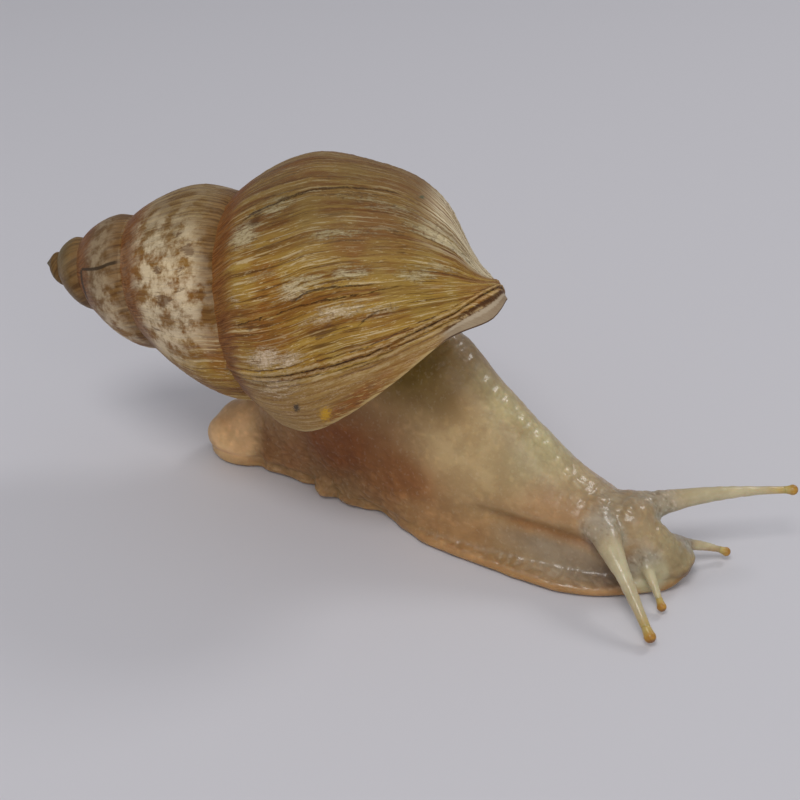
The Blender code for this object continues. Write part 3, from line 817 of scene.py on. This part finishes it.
# ---- the flesh's form
# y, middle of the sole, half width of the sole, half width of the back, height, and lean, as in the solid
STATIONS = (
    (35.6, -10.5, 2.5, 2.2, 6.0, 0.0),
    (33.5, -10.2, 4.6, 4.8, 9.4, 0.0),
    (29.0, -9.2, 6.9, 7.0, 12.0, 0.0),
    (22.0, -7.2, 7.4, 8.0, 15.5, -1.5),
    (12.0, -5.4, 9.4, 9.5, 30.0, -7.5),
    (3.0, -4.6, 12.0, 11.5, 35.0, -9.0),
    (-6.0, -5.2, 11.2, 12.5, 38.6, -3.5),
    (-14.7, -7.0, 12.7, 11.5, 35.5, 0.0),
    (-22.0, -8.0, 12.7, 10.4, 29.3, 0.6),
    (-30.6, -8.3, 12.6, 9.6, 22.8, 0.4),
    (-37.7, -8.4, 12.8, 9.0, 17.6, 0.2),
    (-43.7, -8.3, 12.2, 8.0, 14.3, 0.2),
    (-48.5, -8.1, 10.6, 6.9, 13.4, 0.0),
    (-53.0, -8.1, 7.6, 5.4, 11.2, 0.0),
    (-57.0, -7.6, 4.9, 4.3, 8.2, 0.0),
    (-59.6, -7.0, 3.3, 3.3, 5.4, 0.0),
    (-60.6, -6.8, 2.2, 2.3, 3.6, 0.0),
)
# base, elbow and tip of each tentacle's line
UPPER_RIGHT = ((-10.4, -43.9, 10.2), (-18.2, -51.4, 8.2), (-25.2, -60.2, 1.7))
UPPER_LEFT = ((-5.6, -48.6, 9.8), (1.6, -58.2, 12.2), (11.5, -71.2, 12.0))
LOWER_RIGHT = ((-10.3, -52.4, 5.0), (-13.6, -55.7, 4.1), (-16.8, -59.1, 1.4))
LOWER_LEFT = ((-5.0, -55.9, 5.2), (-0.6, -59.6, 3.7), (2.6, -63.6, 1.8))
# line, radii along it, radius of the swollen tip
TENTACLES = {
    "upper_tentacle_right": (UPPER_RIGHT, (4.4, 2.8, 1.95, 1.5, 1.2, 0.95, 0.75), 1.0),
    "upper_tentacle_left": (UPPER_LEFT, (4.2, 2.6, 1.9, 1.45, 1.1, 0.8, 0.64), 0.92),
    "lower_tentacle_right": (LOWER_RIGHT, (2.4, 1.6, 1.15, 0.92, 0.76, 0.64, 0.56), 0.8),
    "lower_tentacle_left": (LOWER_LEFT, (2.4, 1.6, 1.15, 0.92, 0.76, 0.64, 0.56), 0.8),
}
VOXEL = 0.36
# rounded swellings joined into the flesh: centre and half sizes
SWELLINGS = (
    ((-12.4, 30.2, 4.8), (4.2, 5.6, 4.8)), ((-13.2, 27.2, 3.4), (3.0, 3.2, 3.4)),
    ((-12.3, 20.6, 1.7), (2.5, 1.7, 1.7)), ((-12.2, 15.2, 1.6), (2.5, 3.2, 1.6)),
    ((-14.7, 7.2, 2.3), (3.0, 2.4, 2.4)), ((-14.2, 1.2, 2.2), (3.2, 3.6, 2.2)),
    ((-12.6, 10.6, 6.0), (2.6, 4.6, 3.6)), ((-8.0, -49.6, 10.4), (4.6, 4.0, 3.6)),
    ((-9.6, -56.0, 3.8), (2.6, 2.6, 2.3)), ((-4.8, -57.4, 3.8), (2.6, 2.4, 2.3)),
    ((4.0, 14.0, 1.8), (2.4, 3.6, 1.8)), ((5.6, 5.0, 1.9), (2.4, 3.4, 1.9)),
)
# notches between the lobes of the foot: y and width
NOTCHES = ((4.4, 0.8), (-4.4, 1.6), (10.6, 1.0), (23.4, 1.3))


def station(y):
    """Station values for an array of y, on a smooth curve through the stations."""
    table = np.array(STATIONS)[::-1]
    at, table = table[:, 0], table[:, 1:]
    y = np.atleast_1d(np.asarray(y, float))
    i = np.clip(np.searchsorted(at, y) - 1, 0, len(at) - 2)
    low = np.maximum(np.arange(len(at)) - 1, 0)
    high = np.minimum(np.arange(len(at)) + 1, len(at) - 1)
    slope = (table[high] - table[low]) / (at[high] - at[low])[:, None]
    span = (at[i + 1] - at[i])[:, None]
    t = ((y - at[i]) / (at[i + 1] - at[i]))[:, None]
    return ((2 * t**3 - 3 * t**2 + 1) * table[i] + (t**3 - 2 * t**2 + t) * span * slope[i]
            + (-2 * t**3 + 3 * t**2) * table[i + 1] + (t**3 - t**2) * span * slope[i + 1])


def flesh_ring(y):
    middle, sole, back, crown, lean = station(y)[0]
    sole += 0.22 * float(noise_at(np.array([y / 2.6]), 11)[0])
    sole -= sum(0.9 * bump(y, place, width) for place, width in NOTCHES)
    edge = min(1.9, 0.5 * crown)
    waist = min(3.0, 0.6 * crown)
    waist_width = back + 0.25 * max(sole - back, 0.0)
    half = [(0.0, 0.0), (0.3 * sole, 0.0), (0.6 * sole, 0.0), (sole - 0.8, 0.0), (sole - 0.2, 0.25 * edge),
            (sole, 0.55 * edge), (sole - 0.3, 0.95 * edge),
            ((sole + waist_width) / 2 - 0.2, (edge + waist) / 2)]
    for angle in np.radians(np.linspace(0, 84, 15)):
        width = min(back * math.cos(angle) ** 0.9, waist_width)
        half.append((width, waist + (crown - waist) * math.sin(angle)))
    outline = half + [(0.0, crown)] + [(-x, z) for x, z in half[:0:-1]]
    return [(middle + x + lean * (z / crown) ** 1.5, y, z) for x, z in outline]


def loft(rings):
    size, count = len(rings[0]), len(rings) - 1
    points = [point for ring in rings for point in ring]
    faces = [(j * size + i, j * size + (i + 1) % size, (j + 1) * size + (i + 1) % size, (j + 1) * size + i)
             for j in range(count) for i in range(size)]
    faces.append(tuple(range(size))[::-1])
    faces.append(tuple(count * size + i for i in range(size)))
    return points, faces


def tentacle_line(line, t):
    """Points and directions along a tentacle's curve, which passes through base, elbow and tip."""
    base, elbow, tip = (np.array(p) for p in line)
    control = 2 * elbow - (base + tip) / 2
    t = np.atleast_1d(t)[:, None]
    points = (1 - t) ** 2 * base + 2 * t * (1 - t) * control + t * t * tip
    ahead = 2 * (1 - t) * (control - base) + 2 * t * (tip - control)
    return points, ahead / np.linalg.norm(ahead, axis=1)[:, None]


def ring(centre, ahead, radius, sides):
    """A circle of points round a line that goes ahead."""
    side = np.cross(ahead, (0.0, 0.0, 1.0))
    side /= np.linalg.norm(side)
    over = np.cross(side, ahead)
    return [centre + radius * (math.cos(a) * side + math.sin(a) * over)
            for a in np.linspace(0, TURN, sides, endpoint=False)]


def tentacle_tube(line, radii, sides=28, rings=60):
    at = np.linspace(0, 1, rings)
    points, ahead = tentacle_line(line, at)
    radius = np.interp(at, np.linspace(0, 1, len(radii)), radii)
    return loft([ring(centre, direction, r, sides) for centre, direction, r in zip(points, ahead, radius)])


def ellipsoid(centre, radii, sides=28, rings=18):
    return loft([[(centre[0] + radii[0] * math.sin(tilt) * math.cos(a),
                   centre[1] + radii[1] * math.sin(tilt) * math.sin(a),
                   centre[2] - radii[2] * math.cos(tilt))
                  for a in np.linspace(0, TURN, sides, endpoint=False)]
                 for tilt in np.linspace(0.02, math.pi - 0.02, rings)])


def mantle_plug():
    """The soft collar that fills the mouth of the shell."""
    start = float(suture([0.0])[0][0]) + 0.2
    phi = np.linspace(start, FRONT_FOLD - 0.3, 48)
    # turns back from the lip, and depth under the shell's surface
    steps = ((0.006, 2.6), (0.008, 1.9), (0.012, 1.2), (0.03, 0.9), (0.06, 0.9), (0.1, 1.2))
    return loft([list(shell_points(np.full(len(phi), -back), phi, inset)) for back, inset in steps])


def relax(points, edges, rounds, amount, weight):
    """Moves each point towards the mean of its neighbours."""
    a, b = edges.T
    count = np.bincount(a, minlength=len(points)) + np.bincount(b, minlength=len(points))
    for _ in range(rounds):
        mean = np.stack([np.bincount(a, points[b, k], len(points)) + np.bincount(b, points[a, k], len(points))
                         for k in range(3)], 1) / count[:, None]
        points = points + (mean - points) * amount * weight
    return points


def from_tip(points):
    """Distance of each point to the nearest tentacle's line, and how far along it that is."""
    nearest = np.full(len(points), 1e9)
    share = np.zeros(len(points))
    for line, _, _ in TENTACLES.values():
        at = np.linspace(0, 1, 80)
        curve, _ = tentacle_line(line, at)
        for t, centre in zip(at, curve):
            distance = np.linalg.norm(points - centre, axis=1)
            closer = distance < nearest
            nearest = np.where(closer, distance, nearest)
            share = np.where(closer, t, share)
    return nearest, share


# ---- the skin's relief and colours
# fold between neck and foot: y and height along it
FOLD = ((-26.0, 9.5), (-31.0, 9.4), (-36.0, 9.2), (-42.0, 8.6), (-47.0, 7.6), (-51.0, 6.2))
# ridges and grooves along the fold: height over it, half width, and how far they stand out
FOLD_RIDGES = ((0.0, 1.0, -0.80), (2.8, 2.2, 0.60), (-3.0, 2.4, -0.35))
# colour zones, three of them partly painted shade or painted light as marked below: distance to the side, y,
# height; their half sizes; colour; strength
ZONES = (
    ((12.0, 3.0, 14.0), (6.0, 12.0, 9.0), (0.245, 0.078, 0.016), 0.97),
    ((12.0, -10.0, 11.0), (4.5, 7.0, 7.0), (0.31, 0.122, 0.036), 0.9),
    ((11.0, -21.0, 5.0), (5.0, 10.0, 4.0), (0.43, 0.24, 0.10), 0.85),
    ((9.0, -22.0, 20.0), (5.0, 8.0, 7.0), (0.57, 0.41, 0.21), 0.85),
    ((4.0, -33.0, 19.0), (6.0, 9.0, 6.0), (0.51, 0.42, 0.24), 0.85),
    ((0.0, -30.0, 24.0), (3.4, 17.0, 9.0), (0.56, 0.49, 0.26), 0.85),
    # partly the skin's olive tone, partly painted shade under the shell's lip
    ((8.0, -11.5, 31.5), (9.0, 7.5, 6.5), (0.20, 0.125, 0.022), 0.97),
    ((7.0, -38.0, 12.6), (4.0, 8.0, 2.8), (0.49, 0.30, 0.15), 0.85),
    ((8.3, -41.0, 5.0), (5.0, 8.0, 3.2), (0.36, 0.28, 0.19), 0.9),
    ((8.0, -48.5, 3.5), (4.0, 4.5, 3.0), (0.22, 0.15, 0.105), 0.85),
    ((1.0, -48.0, 13.5), (5.0, 5.0, 4.0), (0.38, 0.30, 0.19), 0.8),
    ((1.6, -51.6, 11.0), (4.0, 3.5, 3.0), (0.46, 0.34, 0.18), 0.7),
    ((2.0, -57.5, 7.0), (5.0, 4.0, 5.0), (0.37, 0.31, 0.165), 0.85),
    ((4.4, -55.0, 5.0), (3.0, 3.0, 3.0), (0.28, 0.20, 0.11), 0.7),
    # the tail's pale colour, made brighter as painted light where the shell shades it
    ((7.0, 28.0, 7.0), (9.0, 6.0, 9.0), (0.82, 0.53, 0.27), 0.97),
    # painted shade in the hollow between the tail's lobe and the flank
    ((9.0, 20.5, 7.0), (6.0, 2.6, 5.5), (0.27, 0.12, 0.036), 0.85),
    ((9.5, 14.5, 7.0), (5.0, 4.5, 5.0), (0.34, 0.155, 0.06), 0.8),
)
BASE_SKIN = (0.42, 0.27, 0.125)
MARGIN_SKIN = (0.47, 0.27, 0.115)
TENTACLE_SKIN = (0.53, 0.48, 0.305)
TIP_SKIN = (0.50, 0.36, 0.085)
CREASE_SKIN = (0.30, 0.125, 0.035)
CHIN_SKIN = (0.30, 0.17, 0.05)
MOUTH_SKIN = (0.12, 0.045, 0.012)
SOLE_LINE = (0.22, 0.11, 0.045)
SOIL = (0.25, 0.12, 0.03)
MOUTH = np.array(((-8.0, -60.4, 3.2), (2.3, 1.3, 1.1)))  # centre and half sizes
SPECK = np.array(((-12.6, -22.6, 20.6), (-11.2, -24.4, 20.8)))  # ends of the crumb of soil


def cells(points, scale, seed):
    """Rounded bumps parted by grooves: 1 in a bump's middle, 0 in a groove."""
    value = np.empty(len(points))
    for i, p in enumerate(points * scale + seed):
        near = noise.voronoi(Vector(p), distance_metric="DISTANCE", exponent=2.5)[0]
        value[i] = near[1] - near[0]
    return smooth(value, 0.02, 0.42)


def side_frame(points):
    """Each point's distance from the body's middle, and half the sole's width there."""
    values = station(np.clip(points[:, 1], STATIONS[-1][0], STATIONS[0][0]))
    return np.abs(points[:, 0] - values[:, 0]), values[:, 1]


def fold_distance(points):
    """Height of each point over the fold between neck and foot, and 1 along the fold, fading at its ends."""
    y, height = np.array(FOLD)[::-1].T
    along = smooth(points[:, 1], -54.0, -48.0) * smooth(-points[:, 1], 20.0, 30.0)
    return points[:, 2] - np.interp(points[:, 1], y, height), along


def chin_lift(y):
    """How far the underside of the snout stands off the floor."""
    return 2.2 * smooth(-y, 57.2, 60.4)


def blend(colour, tint, weight):
    weight = weight[:, None]
    return colour * (1 - weight) + weight * np.asarray(tint)


def crumb_of_soil(points):
    start, end = SPECK
    t = np.clip((points - start) @ (end - start) / ((end - start) ** 2).sum(), 0, 1)
    off = np.linalg.norm(points - (start + t[:, None] * (end - start)), axis=1)
    return smooth(-off - 0.25 * noise_at(points / 0.5, 35), -0.75, -0.3)


def skin_zones(points, normals):
    """Distances, and zones from 0 to 1, that the skin's relief and colours follow, for each point."""
    y, z = points[:, 1], points[:, 2]
    at = SimpleNamespace(y=y, z=z)
    at.aside, at.sole = side_frame(points)
    at.near, at.share = from_tip(points)
    at.above, along = fold_distance(points)
    at.outer = smooth(at.aside, 4.0, 6.0) * along
    at.stalk = smooth(-at.near, -3.6, -2.2) * smooth(at.share, 0.18, 0.42)
    at.low = smooth(-z, -14.0, -7.0)
    at.rear = smooth(y, -30.0, -8.0)
    at.front = smooth(-y, 40.0, 50.0)
    at.tail = smooth(y, 22.0, 25.0)
    at.ridge = smooth(normals[:, 2], 0.45, 0.85) * smooth(-y, 8.0, 16.0)
    at.body = (1 - at.stalk) * smooth(z, 0.15, 1.6)
    at.crumb = crumb_of_soil(points)
    warty = smooth(-z, -20.0, -11.0) * smooth(y, -16.0, -6.0)
    rough = 0.12 + 0.35 * at.low * at.rear + 0.40 * warty + 0.15 * at.front + 0.35 * at.ridge
    at.rough = np.clip(rough, 0, 1) * (1 - 0.8 * at.tail)
    return at


def skin_relief(points, at):
    """How far each point stands out, in millimetres, and how deep in a groove it lies, from 0 to 1."""
    big = cells(points * (1.0, 0.62, 1.0), 0.62, 3.1)
    small = cells(points * (1.0, 0.55, 1.0), 1.25, 8.7)
    relief = at.body * at.rough * (0.15 * (big - 0.5) + 0.10 * (small - 0.5))
    relief += at.body * 0.24 * noise_at(points / 4.2, 21) * (0.35 + 0.65 * at.low)
    relief += at.body * at.low * at.rear * (1 - 0.7 * at.tail) * 0.26 * noise_at(points / 2.0, 22)
    wrinkle = noise_at(np.stack((at.y / 0.8 + 0.35 * at.z, at.aside / 3.0, at.z / 3.5), 1), 23)
    relief += at.body * (0.03 + 0.07 * at.ridge + 0.05 * at.front) * wrinkle
    relief += at.stalk * 0.05 * noise_at(np.stack((at.share * 26, at.near), 1), 24)
    for middle, width, rise in FOLD_RIDGES:
        relief += at.outer * rise * bump(at.above, middle, width)
    # the valleys in front of the tail and over the foot's edge
    relief -= 0.7 * bump(at.y, 22.6, 1.4) * smooth(-at.z, -11.0, -5.0) * at.body
    relief -= 0.28 * bump(at.z, 2.7, 0.55) * smooth(at.aside - at.sole, -3.5, -1.0) * at.body
    relief *= smooth(at.z, 0.0, 0.5)
    groove = np.clip(1 - (0.55 * big + 0.45 * small), 0, 1) * at.rough * at.body
    return relief + 0.25 * at.crumb, groove


def skin_colours(points, at, groove):
    colour = np.tile(BASE_SKIN, (len(points), 1))
    shift = noise_at(points / 6.0, 31)[:, None] * (1.6, 2.2, 1.6)
    place = np.stack((at.aside, at.y, at.z), 1) + shift
    for centre, size, tint, strength in ZONES:
        weight = strength * np.exp(-(((place - centre) / size) ** 2).sum(1))
        colour = blend(colour, tint, np.clip(weight * 1.25, 0, strength))
    margin = smooth(-at.z, -2.6, -1.2) * smooth(at.aside, 0.0, 3.0)
    colour = blend(colour, MARGIN_SKIN, 0.85 * margin * smooth(-at.y, -34.0, -20.0))
    crease = 0.75 * at.outer * bump(at.above, -0.2, 0.9)
    colour = blend(colour, CREASE_SKIN, crease * smooth(-at.y, 27.0, 34.0))
    # painted shade: darker and warmer in the grooves between the skin's bumps
    colour *= (1 - 0.35 * groove)[:, None] * (1.0, 0.95, 0.88) ** groove[:, None]
    fleck = smooth(noise_at(points / 0.9, 33), 0.35, 0.75) * at.body
    colour *= 1 + 0.14 * fleck[:, None]
    by_stalk = smooth(-at.near, -4.2, -2.4)
    colour = blend(colour, TENTACLE_SKIN, 0.95 * by_stalk * smooth(at.share, 0.2, 0.5))
    colour = blend(colour, TIP_SKIN, at.stalk * 0.85 * smooth(at.share, 0.82, 0.97))
    under = smooth(-at.y, 56.5, 58.0) * smooth(-(at.z - chin_lift(at.y)), -1.5, -0.5)
    colour = blend(colour, CHIN_SKIN, 0.6 * under)
    mouth = np.exp(-(((points - MOUTH[0]) / MOUTH[1]) ** 2).sum(1))
    colour = blend(colour, MOUTH_SKIN, 0.9 * mouth)
    # clear, bluish skin with bright flecks at the feet of the tentacles
    clear = 0.42 * by_stalk * smooth(at.share, 0.02, 0.12) * smooth(-at.share, -0.42, -0.25)
    fine = noise_at(points / 0.42, 36)
    cold = np.where((fine > 0.55)[:, None], (0.78, 0.78, 0.70), (0.42, 0.43, 0.38))
    colour = blend(colour, cold * (1 - 0.6 * smooth(-fine, 0.45, 0.6))[:, None], clear)
    colour = blend(colour, SOLE_LINE, 0.5 * bump(at.z, 0.1, 0.35) * smooth(at.aside, 3.0, 5.0))
    return np.clip(blend(colour, SOIL, at.crumb), 0.01, 1.0)


def flesh_mesh():
    """All the flesh as one closed mesh, made from its overlapping parts."""
    parts = [loft([flesh_ring(y) for y in np.linspace(STATIONS[0][0], STATIONS[-1][0], 130)]), mantle_plug()]
    parts += [ellipsoid(centre, radii) for centre, radii in SWELLINGS]
    parts += [tentacle_tube(line, radii) for line, radii, _ in TENTACLES.values()]
    points, faces = [], []
    for part_points, part_faces in parts:
        faces += [tuple(v + len(points) for v in face) for face in part_faces]
        points += part_points
    rough = make_mesh("skin_rough", np.array(points), faces)
    face_outwards(rough.data)
    remesh = rough.modifiers.new("remesh", "REMESH")
    remesh.mode = "VOXEL"
    remesh.voxel_size = VOXEL * MM
    graph = bpy.context.evaluated_depsgraph_get()
    mesh = bpy.data.meshes.new_from_object(rough.evaluated_get(graph))
    bpy.data.objects.remove(rough, do_unlink=True)
    mesh.name = "skin"
    return mesh


def build_skin():
    mesh = flesh_mesh()
    made = bpy.data.objects.new("skin", mesh)
    bpy.context.scene.collection.objects.link(made)
    points = get_points(mesh)
    near, share = from_tip(points)
    slender = smooth(-near, -3.2, -1.8) * smooth(share, 0.25, 0.6)
    edges = rows_of(mesh.edges, "vertices", 2, np.int32)
    points = relax(points, edges, rounds=14, amount=0.5, weight=(1 - 0.85 * slender)[:, None])
    points[:, 2] = np.where(points[:, 2] < 0.12, 0.0, points[:, 2])
    near, _ = from_tip(points)
    lift = chin_lift(points[:, 1]) * smooth(near, 1.2, 2.6)
    points[:, 2] += lift * smooth(-points[:, 2], -6.5, 0.0)
    set_points(mesh, points)
    normals = vertex_normals(mesh)
    zones = skin_zones(points, normals)
    relief, groove = skin_relief(points, zones)
    wet = 0.12 + 0.88 * zones.ridge + 0.7 * zones.front * smooth(zones.z, 5.0, 9.0) + 0.3 * zones.stalk
    set_attribute(mesh, "groove", groove)
    set_attribute(mesh, "wet", np.clip(wet, 0, 1))
    set_attribute(mesh, "skin_colour", skin_colours(points, zones, groove))
    points = points + normals * relief[:, None]
    points[:, 2] = np.maximum(points[:, 2], 0.0)
    set_points(mesh, points)
    mesh.shade_smooth()
    mesh.materials.clear()
    mesh.materials.append(skin_look())
    return made


def skin_look():
    look = Look("moist_skin")
    place = look.place()
    groove, wet = look.attribute("groove"), look.attribute("wet")
    cloud = place.noise(260.0, 4.0, 0.6)
    grain = place.noise(1400.0, 2.0, 0.6)
    tight = look.value("ShaderNodeTexVoronoi", {"Vector": place, "Scale": 1150.0}, feature="DISTANCE_TO_EDGE")
    look.colour = look.attribute("skin_colour", "Color")
    look.paint(1.0, look.mix(cloud.span(0.38, 0.66), (0.91, 0.88, 0.84), (1.08, 1.08, 1.07)), "MULTIPLY")
    look.paint(grain.span(0.56, 0.72) * 0.10, (0.78, 0.68, 0.50))
    bumps = ((tight.span(0.0, 0.28), 0.00005, 0.25), (cloud, 0.00020, 0.3), (grain, 0.00004, 0.4))
    return look.finish(
        bumps, Subsurface_Weight=0.45, Subsurface_Radius=(1.0, 0.5, 0.28), Subsurface_Scale=0.0035,
        Roughness=(groove * 0.4 + cloud).span(0.3, 0.95, 0.30, 0.56), Coat_Roughness=0.14,
        Specular_IOR_Level=wet.span(0.0, 1.0, 0.22, 0.5), Coat_Weight=wet.span(0.1, 1.0, 0.04, 0.45))


def bulb_look():
    look = Look("tentacle_tip")
    share = look.attribute("share")
    cloud = look.place().noise(900.0, 3.0, 0.6)
    start = tuple(0.85 * tip + 0.15 * stalk for tip, stalk in zip(TIP_SKIN, TENTACLE_SKIN))
    look.colour = look.mix(share.span(0.15, 0.8), start, (0.50, 0.26, 0.03))
    look.paint(cloud.span(0.42, 0.62) * share.span(0.3, 0.7) * 0.5, (0.30, 0.12, 0.016))
    look.paint(share.span(0.78, 0.96) * 0.8, (0.19, 0.065, 0.012))
    return look.finish(((cloud, 0.0001, 0.5),), Roughness=0.3, Subsurface_Weight=0.25,
                       Subsurface_Radius=(1.0, 0.45, 0.2), Subsurface_Scale=0.001)


def build_bulb(name, line, stalk, radius, material, sides=40):
    """A swollen tip that grows smoothly out of its stalk."""
    points, ahead = tentacle_line(line, 1.0)
    swell = stalk * 1.10
    profile = [(-2.0 * radius, 0.02), (-1.8 * radius, stalk * 0.97), (-1.4 * radius, stalk * 1.02),
               (-radius, swell)]
    start = -math.acos(swell / radius) if swell < radius else 0.0
    profile += [(radius * math.sin(a), radius * math.cos(a))
                for a in np.linspace(start * 0.75, math.pi / 2 - 0.04, 16)]
    points, faces = loft([ring(points[0] + along * ahead[0], ahead[0], r, sides) for along, r in profile])
    made = make_mesh(name, np.array(points), faces)
    face_outwards(made.data)
    share = [(along / radius + 2.0) / 3.0 for along, _ in profile]
    set_attribute(made.data, "share", np.repeat(share, sides))
    made.data.materials.append(material)
    return made


# ---- floor, light and camera
def build_stage():
    bpy.ops.mesh.primitive_plane_add(size=4.0, location=(0.0, 0.0, -0.00005))
    floor = bpy.context.object
    floor.name = "floor"
    look = Look("pale_floor")
    floor.data.materials.append(look.finish(Base_Color=(0.67, 0.665, 0.715), Roughness=0.7))

    world = bpy.context.scene.world or bpy.data.worlds.new("soft_sky")
    bpy.context.scene.world = world
    world.use_nodes = True
    sky = world.node_tree.nodes["Background"]
    sky.inputs["Color"].default_value = (0.95, 0.96, 1.0, 1.0)
    sky.inputs["Strength"].default_value = 0.33

    for name, place, size, power, colour in (
        ("key", (-0.60, -0.12, 1.10), 0.5, 4.8, (1.0, 0.98, 0.95)),
        ("fill", (-0.80, -0.75, 0.60), 0.8, 2.0, (1.0, 0.98, 0.95)),
        ("back", (0.70, -0.30, 0.75), 0.3, 1.7, (1.0, 0.98, 0.96)),
    ):
        light = bpy.data.lights.new(name, "AREA")
        light.shape = "DISK"
        light.size = size
        light.energy = power
        light.color = colour
        lamp = bpy.data.objects.new(name, light)
        lamp.location = place
        lamp.rotation_euler = (Vector((0.0, 0.0, 0.02)) - Vector(place)).to_track_quat("-Z", "Y").to_euler()
        bpy.context.scene.collection.objects.link(lamp)


def build_camera():
    data = bpy.data.cameras.new("camera")
    data.angle = math.radians(34.0)
    data.clip_start = 0.01
    camera = bpy.data.objects.new("camera", data)
    azimuth, elevation, distance = math.radians(-60.0), math.radians(30.0), 0.2453
    target = Vector((0.0, 0.0, 0.015))
    back = Vector((math.sin(azimuth) * math.cos(elevation), -math.cos(azimuth) * math.cos(elevation),
                   math.sin(elevation)))
    camera.location = target + distance * back
    camera.rotation_euler = (-back).to_track_quat("-Z", "Y").to_euler()
    bpy.context.scene.collection.objects.link(camera)
    bpy.context.scene.camera = camera


# ---- the scene
def main():
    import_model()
    bpy.context.scene.view_settings.view_transform = "Standard"

    shell = build_shell_piece()
    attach(shell, "root")
    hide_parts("shell")

    skin = build_skin()
    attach(skin, "root")
    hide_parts("mantle", "tail", "trunk", "neck", "head", "lips", "foot", "upper_tentacle_right",
                "upper_tentacle_left", "lower_tentacle_right", "lower_tentacle_left")

    tips = bulb_look()
    for name, (line, radii, bulb) in TENTACLES.items():
        node = name.replace("upper_tentacle", "eye") if "upper" in name else name + "_tip"
        made = build_bulb(node + "_visual", line, radii[-1], bulb, tips)
        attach(made, "root")
        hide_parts(node)

    build_stage()
    build_camera()


main()
